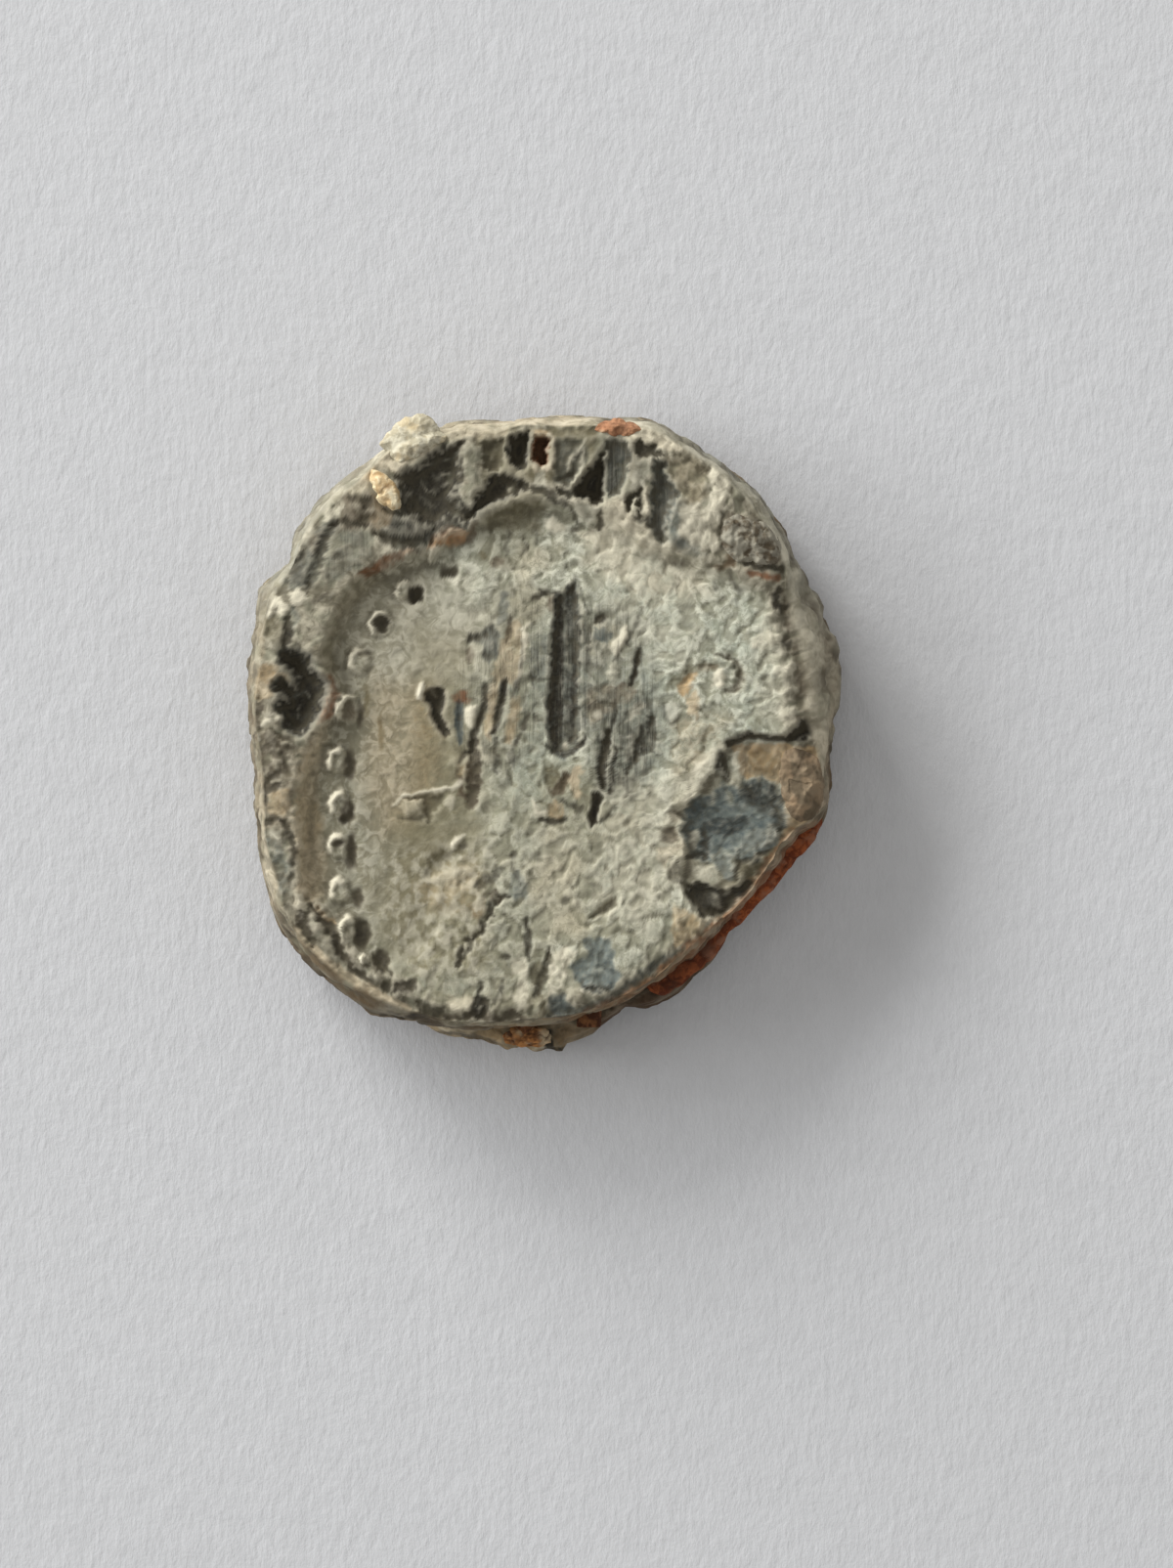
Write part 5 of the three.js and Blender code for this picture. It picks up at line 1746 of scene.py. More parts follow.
sideFinish = {  # what covers the front leaf's side, by angle
    # the cream near 0 to 60 degrees is partly painted light that lightens the right side, which faces away
    # from the lamps
    "cream": [
        (0, 0.5), (40, 0.55), (60, 0.42), (78, 0.5), (100, 0.4), (130, 0.35), (160, 0.12), (185, 0.06),
        (205, 0.4), (216, 0.15), (225, 0.0), (300, 0.0),
    ],
    "tan": [
        (0, 0.25), (60, 0.15), (80, 0.5), (100, 0.5), (125, 0.2), (200, 0.25), (222, 0.2), (250, 0.2),
        (262, 0.35), (290, 0.55), (320, 0.5),
    ],
    "earth": [
        (0, 0.35), (25, 0.2), (45, 0.1), (70, 0.1), (110, 0.05), (150, 0.15), (180, 0.75), (205, 0.3),
        (222, 0.7), (260, 0.6), (300, 0.8), (330, 0.7),
    ],
    # the slate near 40 to 70 degrees is painted shade on the upper right side, and near 145 degrees partly
    # painted shade on the upper left side
    "slate": [
        (0, 0.1), (20, 0.25), (40, 0.5), (70, 0.5), (85, 0.1), (110, 0.1), (128, 0.3), (145, 0.55),
        (158, 0.2), (185, 0.2), (200, 0.0),
    ],
    "rust": [(0, 0.0), (270, 0.0), (290, 0.4), (330, 0.55), (345, 0.15)],
    "dark": [
        (0, 0.0), (165, 0.0), (182, 0.15), (200, 0.0), (212, 0.0), (226, 0.25), (236, 0.25), (243, 0.8),
        (250, 0.5), (264, 0.1), (285, 0.3), (320, 0.35), (345, 0.1),
    ],
}
# dark blots on it
sideBlots = [(0, 0.4), (30, 0.25), (60, 0.12), (110, 0.2), (180, 0.7), (220, 0.6), (300, 0.8), (340, 0.6)]


def leafSide(angle, share):
    # share runs from 0 at the crest to 1 at the foot: a rounded shoulder over a steep wall
    foot = leaf["seamLevel"] + openingAt(angle)
    crest = crestAt(angle)
    top, paint = faceRelief(crest * np.cos(np.radians(angle)), crest * np.sin(np.radians(angle)))
    evenTop = leaf["fieldLevel"] + np.maximum(leaf["rimHeight"] * rimShareAt(angle), leaf["crustHeight"])
    evenTop = evenTop - leaf["edgeDrop"] - 0.3 * paint["bare"]
    top = top + (evenTop - top) * smoothStep(share, 0, 0.3)
    z = foot + (top - foot) * (1 - share ** 2.2)
    arc = np.radians(angle) * leaf["arcRadius"]
    blend = smoothStep(share, 0.0, 0.3)
    patch = smoothStep(roughNoise(arc, z, 1.1, 131, 3), -0.35, 0.35)
    for colour, pairs in sideFinish.items():
        cover = blend * aroundValues(pairs)(angle) * (0.4 + 0.8 * patch)
        paint[colour] = paint[colour] * (1 - blend) + cover
    for colour in ("olive", "streak", "smooth", "crust", "rim", "bare"):
        paint[colour] = paint[colour] * (1 - blend)
    blots = smoothStep(roughNoise(arc * 0.5, z * 1.5 + share, 0.5, 141, 3), 0.1, 0.32)
    blots = blots * aroundValues(sideBlots)(angle)
    low = smoothStep(share, 0.45, 0.8)
    stain = smoothStep(roughNoise(arc * 0.6, z * 1.2, 0.8, 151, 3), -0.1, 0.25)
    paint["rim"] = paint["rim"] + 0.85 * low
    paint["cream"] = paint["cream"] * (1 - 0.65 * low)
    paint["tan"] = paint["tan"] * (1 - 0.3 * low)
    paint["earth"] = np.clip(paint["earth"] + 0.45 * low * stain, 0, 1)
    grime = np.maximum(0.7 * blend * blots, 0.55 * low * stain * (1 - patch))
    paint["dark"] = np.maximum(paint["dark"], grime)
    return z, paint


def leafSurface(x, y):
    angle, reach = np.degrees(np.arctan2(y, x)), np.hypot(x, y)
    crest, foot = crestAt(angle), frontFootAt(angle)
    face = faceRelief(x, y)[0]
    side = leafSide(angle, np.clip((reach - crest) / (foot - crest), 0, 1))[0]
    return np.where(reach <= crest, face, side)


def smoothed(grid, times):
    for _ in range(times):
        wide = np.pad(grid, 1, mode="edge")
        grid = (wide[1:-1, :-2] + wide[1:-1, 2:] + wide[:-2, 1:-1] + wide[2:, 1:-1] + 2 * grid) / 6
    return grid


def polarPlaces(u, v):
    # a square grid pulled out to a disc, as angle and share of the radius
    wide = np.abs(u) > np.abs(v)
    share = np.where(wide, u, v)
    safeU, safeV = np.where(wide, u, 1), np.where(wide | (v == 0), 1, v)
    turn = np.where(wide, (np.pi / 4) * v / safeU, np.pi / 2 - (np.pi / 4) * u / safeV)
    return np.degrees(np.arctan2(share * np.sin(turn), share * np.cos(turn))), np.abs(share)


def discMesh(cells, steps):
    # a grid whose rim is walled inwards below in a few steps, then filled. level 0 is the grid itself
    base = bmesh.new()
    bmesh.ops.create_grid(base, x_segments=cells, y_segments=cells, size=1)
    for factor in steps:
        openEdges = [e for e in base.edges if e.is_boundary]
        made = bmesh.ops.extrude_edge_only(base, edges=openEdges)
        verts = [v for v in made["geom"] if isinstance(v, bmesh.types.BMVert)]
        bmesh.ops.scale(base, vec=(factor, factor, 1), verts=verts)
        bmesh.ops.translate(base, vec=(0, 0, -1), verts=verts)
    bmesh.ops.holes_fill(base, edges=[e for e in base.edges if e.is_boundary], sides=0)
    raw = np.array([v.co for v in base.verts])
    level = np.round(-raw[:, 2]).astype(int)
    angle, share = polarPlaces(raw[:, 0], raw[:, 1])
    return base, angle, share, level


def finishPiece(name, base, places, values, material):
    mesh = bpy.data.meshes.new(name)
    base.to_mesh(mesh)
    base.free()
    mesh.vertices.foreach_set("co", (places * mm).astype(np.float32).ravel())
    for key, value in values.items():
        attribute = mesh.attributes.new(key, "FLOAT", "POINT")
        attribute.data.foreach_set("value", np.clip(value, 0, 1).astype(np.float32))
    mesh.polygons.foreach_set("use_smooth", np.ones(len(mesh.polygons), bool))
    mesh.materials.append(material)
    mesh.update()
    tested = bmesh.new()
    tested.from_mesh(mesh)
    if tested.calc_volume(signed=True) < 0:
        mesh.flip_normals()
    tested.free()
    piece = bpy.data.objects.new(name, mesh)
    bpy.context.scene.collection.objects.link(piece)
    return piece


# shader maths
class Wire:
    def __init__(self, tree, socket=None):
        self.tree, self.socket = tree, socket

    def add(self, kind, settings=None, sockets=None, out=0):
        node = self.tree.nodes.new(kind)
        for key, value in (settings or {}).items():
            setattr(node, key, value)
        for key, value in (sockets or {}).items():
            if isinstance(value, Wire):
                self.tree.links.new(value.socket, node.inputs[key])
            else:
                node.inputs[key].default_value = value
        return Wire(self.tree, node.outputs[out])

    def maths(self, operation, *values):
        return self.add("ShaderNodeMath", {"operation": operation}, dict(enumerate(values)))

    def __add__(self, other):
        return self.maths("ADD", self, other)

    def __radd__(self, other):
        return self.maths("ADD", other, self)

    def __sub__(self, other):
        return self.maths("SUBTRACT", self, other)

    def __rsub__(self, other):
        return self.maths("SUBTRACT", other, self)

    def __mul__(self, other):
        return self.maths("MULTIPLY", self, other)

    def __rmul__(self, other):
        return self.maths("MULTIPLY", other, self)

    def clipped(self):
        return self.maths("MINIMUM", self.maths("MAXIMUM", self, 0.0), 1.0)

    def stepped(self, low, high):
        return self.add(
            "ShaderNodeMapRange",
            {"interpolation_type": "SMOOTHSTEP"},
            {"Value": self, "From Min": low, "From Max": high},
        )

    def mixed(self, low, high):
        # this mask mixes two colours
        return self.add("ShaderNodeMix", {"data_type": "RGBA"}, {0: self, 6: low, 7: high}, 2)

    def mask(self, name):
        return self.add("ShaderNodeAttribute", {"attribute_name": name}, None, 2)

    def noise(self, scale, detail=2.0, roughness=0.55, stretch=(1, 1, 1), bend=0.0):
        place = self.add("ShaderNodeTexCoord", None, None, 3)
        spot = self.add("ShaderNodeMapping", None, {"Vector": place, "Scale": stretch})
        return self.add(
            "ShaderNodeTexNoise",
            None,
            {
                "Vector": spot, "Scale": scale, "Detail": detail, "Roughness": roughness,
                "Distortion": bend,
            },
        )


def seen(red, green, blue):
    # a colour as the screen shows it, 0 to 255
    def plain(value):
        value /= 255
        return value / 12.92 if value <= 0.04045 else ((value + 0.055) / 1.055) ** 2.4
    return (plain(red), plain(green), plain(blue), 1.0)


def newMaterial(name):
    material = bpy.data.materials.new(name)
    material.use_nodes = True
    return material, Wire(material.node_tree), material.node_tree.nodes["Principled BSDF"]


leadFinish = {
    "crustPale": seen(202, 202, 183),
    "crustShade": seen(158, 159, 140),
    "crustBlot": seen(122, 120, 98),
    "crustWarm": seen(204, 193, 165),
    "crustCool": seen(172, 180, 165),
    "fieldPale": seen(167, 163, 144),
    "fieldShade": seen(131, 126, 106),
    "lost": seen(136, 135, 115),
    "rimPale": seen(156, 149, 130),
    "rimShade": seen(98, 92, 76),
    "olive": seen(112, 104, 76),
    "earth": seen(94, 76, 54),
    "dark": seen(44, 41, 34),
    "slate": seen(90, 102, 102),
    "cream": seen(220, 213, 190),
    "tan": seen(184, 156, 114),
    "rust": seen(140, 78, 38),
    # the tone of the painted shade in the hollows
    "hollowShadeTone": seen(88, 82, 66),
    "roughness": 0.85,
}


def leadMaterial():
    material, wire, shader = newMaterial("corrodedLead")
    finish = leadFinish
    blots = wire.noise(2300, 2, 0.5, bend=1.1)  # about 0.4 mm
    grain = wire.noise(6500, 2, 0.6)
    patches = wire.noise(1100, 3, 0.55)
    tint = wire.noise(330, 2, 0.5)
    lines = wire.noise(1500, 3, 0.6, (6, 0.45, 1))
    mottle = (blots + 0.25 * grain - 0.125).stepped(0.34, 0.56)

    def broken(name, share=1.0):
        # a painted mask whose edge is broken up by the grain
        mask = wire.mask(name) * share
        body = mask * (0.7 + 0.4 * grain + 0.2 * blots)
        fringe = (blots - 0.5) * 0.7 * (1 - mask) * mask * 4
        return (body + fringe).clipped()

    spots = (blots + 0.25 * grain - 0.125).stepped(0.4, 0.6)
    colour = spots.mixed(finish["fieldShade"], finish["fieldPale"])
    crustColour = mottle.mixed(finish["crustShade"], finish["crustPale"])
    crustColour = (tint.stepped(0.52, 0.68) * 0.6).mixed(crustColour, finish["crustWarm"])
    crustColour = ((1 - tint.stepped(0.34, 0.48)) * 0.5).mixed(crustColour, finish["crustCool"])
    colour = wire.mask("crust").mixed(colour, crustColour)
    rimSpots = (patches * 0.6 + blots * 0.4).stepped(0.42, 0.58)
    rimColour = rimSpots.mixed(finish["rimShade"], finish["rimPale"])
    strokes = (1 - (wire.maths("ABSOLUTE", blots - 0.5)).stepped(0.015, 0.05)) * grain.stepped(0.4, 0.55)
    strokes = strokes + (1 - (blots + 0.2 * patches).stepped(0.46, 0.52)) * 0.6
    strokes = (strokes * (0.4 + 0.6 * wire.mask("crust"))).clipped()
    colour = (strokes * 0.45).mixed(colour, finish["crustBlot"])
    colour = (wire.mask("rim") * 0.8).mixed(colour, rimColour)
    colour = (wire.mask("lost") * 0.6).mixed(colour, finish["lost"])
    colour = (wire.mask("bare") * 0.6).mixed(colour, rimColour)
    for name in ("olive", "earth", "tan", "slate", "cream", "rust", "dark"):
        colour = broken(name).mixed(colour, finish[name])
    streak = wire.mask("streak")
    colour = (streak * lines.stepped(0.54, 0.64) * 0.28).mixed(colour, finish["fieldPale"])
    colour = (streak * (1 - lines.stepped(0.38, 0.46)) * 0.6).mixed(colour, finish["dark"])
    # painted shade: the hollows are mixed towards a dark tone, and a painted cream highlight lies on the
    # raised points
    colour = (wire.mask("hollowShade") * 0.6).mixed(colour, finish["hollowShadeTone"])
    colour = (wire.mask("peakHighlight") * 0.25).mixed(colour, finish["cream"])
    wire.tree.links.new(colour.socket, shader.inputs["Base Color"])
    shader.inputs["Roughness"].default_value = finish["roughness"]
    shader.inputs["Specular IOR Level"].default_value = 0.25
    rough = 1 - 0.75 * wire.mask("smooth")
    height = (blots * 0.8 + grain * 0.35) * rough + patches * 0.4 + lines * streak
    bump = wire.add("ShaderNodeBump", None, {"Height": height, "Strength": 0.6, "Distance": 0.00006})
    wire.tree.links.new(bump.socket, shader.inputs["Normal"])
    return material


# front leaf
def makeFrontLeaf(material):
    base, angle, share, level = discMesh(leaf["cells"], leaf["walls"])
    crest, foot = crestAt(angle), frontFootAt(angle)
    down = np.clip((share - leaf["faceShare"]) / (1 - leaf["faceShare"]), 0, 1)
    onFace = share <= leaf["faceShare"]
    radius = np.where(onFace, share / leaf["faceShare"] * crest, crest + (foot - crest) * down)
    x, y = radius * np.cos(np.radians(angle)), radius * np.sin(np.radians(angle))
    z, paint = faceRelief(x, y)
    sideZ, sidePaint = leafSide(angle, down)
    z = np.where(onFace, z, sideZ)
    for key in paint:
        paint[key] = np.where(onFace, paint[key], sidePaint[key])
    arc = np.radians(angle) * leaf["arcRadius"]
    layers = 0.07 * roughNoise(arc * 0.35, z * 1.4 + radius, 0.45, 111, 3)
    layers = layers + 0.08 * roughNoise(arc, z, 1.3, 112, 2)
    push = np.minimum(layers, 0.04) * smoothStep(down, 0.05, 0.4) * (1 + 0.9 * smoothStep(down, 0.3, 0.6))
    x, y = x + push * np.cos(np.radians(angle)), y + push * np.sin(np.radians(angle))
    top = level == 0
    side = int(round(math.sqrt(top.sum())))
    grid = z[top].reshape(side, side)
    # painted shade in the face's hollows and a painted highlight on its raised points, from the height
    # against its smoothed height; on the side, painted shade in the grooves between layers and a highlight
    # on their edges
    hollow = np.zeros(z.shape)
    hollow[top] = (smoothed(grid, 8) - grid).ravel() / 0.05
    hollow = np.where(down > 0.1, layers * -6, hollow)
    paint["hollowShade"] = np.clip(hollow, 0, 1)
    paint["peakHighlight"] = np.clip(-hollow, 0, 1)
    inner = np.where(level == 1, *leaf["walls"])
    x = np.where(top, x, foot * inner * np.cos(np.radians(angle)))
    y = np.where(top, y, foot * inner * np.sin(np.radians(angle)))
    z = np.where(top, z, np.where(level == 1, leaf["seamLevel"] + openingAt(angle), leaf["seamLevel"]))
    return finishPiece("sculptedFrontLeaf", base, np.c_[x, y, z], paint, material)


lead = leadMaterial()
frontLeaf = makeFrontLeaf(lead)
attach(frontLeaf, "root")
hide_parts("front_leaf")
print("front leaf made")

backLeaf = {
    "cells": 250,
    "underShare": 0.56,
    "wallShare": 0.84,
    "topLevel": 2.2,  # mm
    # share of the height, mm in from the outline
    "wallLine": [(0, 1.5), (0.24, 0.45), (0.62, 0.0), (1.0, 0.25)],
    "hollows": [  # middle, half sizes, turn and depth of the worn places underneath, mm
        ((-6.0, 3.5), (1.6, 1.1), 20, 0.18), ((4.8, 5.2), (1.3, 1.8), -30, 0.2),
        ((5.9, -3.0), (1.5, 1.0), 10, 0.17),
        ((-4.2, -6.0), (1.8, 1.2), 35, 0.19), ((1.2, -7.4), (1.2, 0.8), 0, 0.15),
        ((-1.0, 7.2), (1.4, 0.9), -15, 0.17),
    ],
    "tuck": 0.9,  # mm that the lip runs in under the front leaf
    "walls": (0.8, 0.4),  # shares of the lip's reach that its inner side steps in to
    "footLevel": 0.06,  # mm over the floor, where the wall starts
    # stains underneath: colour, strength, size in mm, seed, and the noise at which they set in
    "stains": [
        ("earth", 0.5, 2.2, 251, -0.25), ("cream", 0.38, 1.4, 252, -0.1), ("slate", 0.3, 3.0, 253, -0.1),
    ],
    "earth": [
        (0, 0.8), (40, 0.6), (70, 0.45), (100, 0.35), (150, 0.25), (200, 0.3), (225, 0.9), (270, 0.7),
        (290, 1.0), (330, 0.9),
    ],
    "dark": [
        (0, 0.2), (60, 0.1), (200, 0.0), (220, 0.35), (240, 0.4), (265, 0.1), (283, 0.5), (300, 0.85),
        (318, 0.8), (330, 0.4),
    ],
    "tan": [(0, 0.1), (80, 0.3), (180, 0.2), (225, 0.2), (255, 0.6), (275, 0.4), (283, 0.0), (330, 0.1)],
    "cream": [(0, 0.0), (90, 0.3), (150, 0.4), (200, 0.45), (218, 0.1), (225, 0.0), (300, 0.0)],
}

ledgeMarks = {
    "pinkBrown": dict(
        shape=[(430, 1046), (480, 1046), (515, 1048), (515, 1068), (485, 1067), (460, 1063), (436, 1056)],
        tan=0.55, earth=0.3, erase=0.8,
    ),
    "pinkPale": dict(
        shape=[(450, 1046), (474, 1044), (488, 1050), (484, 1062), (462, 1060), (450, 1055)],
        tan=0.6, cream=0.35, erase=0.8,
    ),
    "ledgeDark": dict(
        path=[(445, 1058), (465, 1057), (485, 1062), (505, 1067)],
        width=[2, 3, 4, 3], dark=0.7, earth=0.5,
    ),
    "notchDark": dict(
        shape=[(560, 1050), (566, 1056), (566, 1074), (578, 1070), (580, 1076), (560, 1080), (556, 1074)],
        dark=0.95,
    ),
    "brownBlock": dict(
        shape=[(566, 1052), (590, 1046), (612, 1042), (608, 1056), (590, 1066), (570, 1070)],
        earth=0.7, tan=0.2, erase=0.6,
    ),
    "creamBit": dict(shape=[(548, 1062), (560, 1058), (560, 1074), (546, 1074)], cream=0.5, tan=0.3),
    "maroon": dict(
        shape=[(553, 424), (565, 422), (580, 430), (578, 438), (560, 436), (553, 432)],
        dark=0.6, rust=0.5,
    ),
    "lowLeftBrown": dict(
        path=[(300, 975), (325, 992), (345, 1008), (365, 1022), (385, 1036)],
        width=[3, 5, 6, 6, 6], earth=0.8, dark=0.2, speckle=0.5,
    ),
    "lowLeftOchre": dict(
        shape=[(345, 1002), (362, 1010), (384, 1026), (376, 1032), (356, 1020)],
        tan=0.4, earth=0.3, erase=0.5,
    ),
    "lipBrown": dict(
        path=[(745, 948), (722, 972), (700, 998), (675, 1022), (645, 1036), (612, 1050)],
        width=[10, 14, 14, 13, 10, 6], earth=0.9, rust=0.25, dark=0.6, erase=0.8, edge=5,
    ),
    "lowLeftBlack": dict(path=[(383, 1030), (398, 1035), (412, 1042)], width=6, dark=0.9, earth=0.5),
}


def makeBackLeaf(material):
    base, angle, share, level = discMesh(backLeaf["cells"], backLeaf["walls"])
    outline, tuck = outlineAt(angle), np.minimum(outlineAt(angle), frontFootAt(angle)) - backLeaf["tuck"]
    under = np.clip(share / backLeaf["underShare"], 0, 1)
    up = np.clip((share - backLeaf["underShare"]) / (backLeaf["wallShare"] - backLeaf["underShare"]), 0, 1)
    over = np.clip((share - backLeaf["wallShare"]) / (1 - backLeaf["wallShare"]), 0, 1)
    arc = np.radians(angle) * leaf["arcRadius"]
    lip = backLeaf["topLevel"] - 0.18 - 0.12 * np.abs(softNoise(arc, arc, 1.4, 201))
    z = lip * up
    heights, insets = zip(*backLeaf["wallLine"])
    footInset = insets[0]
    radius = outline - np.interp(up, heights, insets)
    layers = 0.09 * roughNoise(arc * 0.3, z * 1.3, 0.4, 211, 3) + 0.1 * roughNoise(arc, z, 1.2, 212, 3)
    radius = radius + 1.4 * np.minimum(layers, 0.02) * np.sin(up * np.pi)
    radius = np.where(share < backLeaf["underShare"], under * (outline - footInset), radius)
    radius = np.where(over > 0, outline - insets[-1] + (tuck - outline + insets[-1]) * over, radius)
    x, y = radius * np.cos(np.radians(angle)), radius * np.sin(np.radians(angle))
    ledge = lip + (backLeaf["topLevel"] - lip) * np.sin(over * np.pi / 2)
    crumbs = np.abs(roughNoise(x, y, 0.5, 221, 3))
    ledge = ledge - 0.12 * crumbs * np.sin(np.clip(over * 1.4, 0, 1) * np.pi) - 0.02 * over
    z = np.where(over > 0, ledge, z)
    worn = roughNoise(x, y, 1.6, 231, 4)
    belly = np.clip(0.07 + 0.11 * worn + 0.04 * roughNoise(x, y, 0.5, 232, 3), 0, 1)
    for (middleX, middleY), (halfX, halfY), turn, depth in backLeaf["hollows"]:
        reach = reachIntoSpot(x, y, (middleX, middleY), (halfX, halfY), turn) / min(halfX, halfY)
        belly = belly + depth * np.sqrt(np.clip(reach, 0, 1))
    atFoot = smoothStep(under, 0.9, 1.0)
    belly = belly * (1 - atFoot) + backLeaf["footLevel"] * atFoot
    z = np.where(share < backLeaf["underShare"], belly, np.maximum(z, backLeaf["footLevel"]))
    paint = {name: np.zeros(x.shape) for name in paints + ("crust", "lost", "rim")}
    patch = smoothStep(roughNoise(arc, z, 0.9, 241, 3), -0.3, 0.3)
    isWall = share >= backLeaf["underShare"]
    stain = smoothStep(roughNoise(arc * 0.6, z * 1.2, 0.8, 243, 3), -0.1, 0.25)
    stain = np.where(isWall, stain * (1 - smoothStep(up, 0.6, 0.9)), 0)
    for colour in ("earth", "dark", "tan", "cream"):
        paint[colour] = np.where(isWall, aroundValues(backLeaf[colour])(angle) * (0.5 + 0.7 * patch), 0)
    paint["earth"] = np.clip(paint["earth"] + 0.4 * stain, 0, 1)
    paint["dark"] = np.maximum(paint["dark"], 0.5 * stain * (1 - patch))
    paint["cream"] = paint["cream"] * (0.4 + 0.6 * smoothStep(up, 0.7, 1))
    paint["rim"] = np.where(isWall, 0.85, 0.3)
    for colour, strength, size, seed, start in backLeaf["stains"]:
        spots = smoothStep(roughNoise(x, y, size, seed, 4), start, 0.6)
        paint[colour] = np.where(isWall, paint[colour], strength * spots)
    px, py = toPhoto(x, y, leaf["seamLevel"])
    fromAbove = np.where(share > (backLeaf["underShare"] + backLeaf["wallShare"]) / 2, px, -999)
    applyMarks(fromAbove, py, z, paint, ledgeMarks)
    # painted shade in the wall's grooves and the underside's hollows, and a painted highlight on the wall's
    # ridges and the underside's lowest bumps
    paint["hollowShade"] = np.where(isWall, np.clip(layers * -5, 0, 1), np.clip(belly * 6 - 0.5, 0, 0.8))
    paint["peakHighlight"] = np.where(isWall, np.clip(layers * 4, 0, 1), np.clip(0.5 - belly * 8, 0, 0.6))
    inner = np.where(level == 1, *backLeaf["walls"])
    top = level == 0
    x = np.where(top, x, tuck * inner * np.cos(np.radians(angle)))
    y = np.where(top, y, tuck * inner * np.sin(np.radians(angle)))
    z = np.where(top, z, backLeaf["topLevel"] - 0.02)
    return finishPiece("sculptedBackLeaf", base, np.c_[x, y, z], paint, material)


rearLeaf = makeBackLeaf(lead)
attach(rearLeaf, "root")
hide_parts("back_leaf")
print("back leaf made")

# the darkest colour of each finish is the tone of the painted shade in its hollows
rustFinish = {
    "seam": {
        "pale": seen(150, 82, 46), "shade": seen(108, 52, 28), "hollowShadeTone": seen(54, 31, 22),
        "touch": seen(146, 106, 84),
    },
    "iron": {
        "pale": seen(120, 78, 52), "shade": seen(74, 44, 28), "hollowShadeTone": seen(44, 28, 20),
        "touch": seen(140, 96, 60),
    },
    "foot": {
        "pale": seen(172, 120, 72), "shade": seen(118, 78, 46), "hollowShadeTone": seen(70, 46, 30),
        "touch": seen(190, 176, 146),
    },
    "head": {
        "pale": seen(172, 124, 92), "shade": seen(132, 90, 64), "hollowShadeTone": seen(82, 54, 40),
        "touch": seen(180, 156, 126),
    },
    "cream": {
        "pale": seen(206, 200, 178), "shade": seen(170, 163, 140), "hollowShadeTone": seen(118, 108, 88),
        "touch": seen(196, 178, 140),
    },
    "flake": {
        "pale": seen(226, 208, 170), "shade": seen(196, 168, 124), "hollowShadeTone": seen(136, 106, 70),
        "touch": seen(228, 220, 192),
    },
    "scab": {
        "pale": seen(148, 143, 128), "shade": seen(92, 82, 66), "hollowShadeTone": seen(58, 49, 38),
        "touch": seen(160, 156, 140),
    },
    "brown": {
        "pale": seen(136, 120, 98), "shade": seen(104, 92, 74), "hollowShadeTone": seen(76, 64, 50),
        "touch": seen(158, 134, 106),
    },
}


def growthMaterial(name, finish, scale=3300, roughness=0.9):
    material, wire, shader = newMaterial(name)
    blots = wire.noise(scale, 3, 0.5, bend=0.8)
    grain = wire.noise(scale * 2.7, 2, 0.55)
    patches = wire.noise(1300, 2, 0.5)
    colour = (blots + 0.3 * grain - 0.15).stepped(0.4, 0.6).mixed(finish["shade"], finish["pale"])
    colour = (patches.stepped(0.55, 0.68) * 0.7).mixed(colour, finish["touch"])
    colour = wire.mask("touch").mixed(colour, finish["touch"])
    # painted shade: the hollows are mixed towards the darkest colour, and a painted highlight in the pale
    # colour lies on the raised points
    colour = (wire.mask("hollowShade") * (0.7 + 0.4 * grain)).clipped().mixed(colour, finish["hollowShadeTone"])
    colour = (wire.mask("peakHighlight") * 0.5).mixed(colour, finish["pale"])
    wire.tree.links.new(colour.socket, shader.inputs["Base Color"])
    shader.inputs["Roughness"].default_value = roughness
    shader.inputs["Specular IOR Level"].default_value = 0.2
    height = blots * 0.8 + grain * 0.45 + patches * 0.4
    bump = wire.add("ShaderNodeBump", None, {"Height": height, "Strength": 0.7, "Distance": 0.00007})
    wire.tree.links.new(bump.socket, shader.inputs["Normal"])
    return material


# rust that swells out of the sprung seam
rustSeam = {
    "from": 345.0,  # degrees round the seal
    "to": 292.0,
    "low": 2.22,  # mm
    "high": 2.93,
    "tuck": 0.9,
    "proud": [(290, -0.3), (298, -0.25), (305, -0.12), (312, -0.02), (335, 0.0), (345, -0.1)],
}


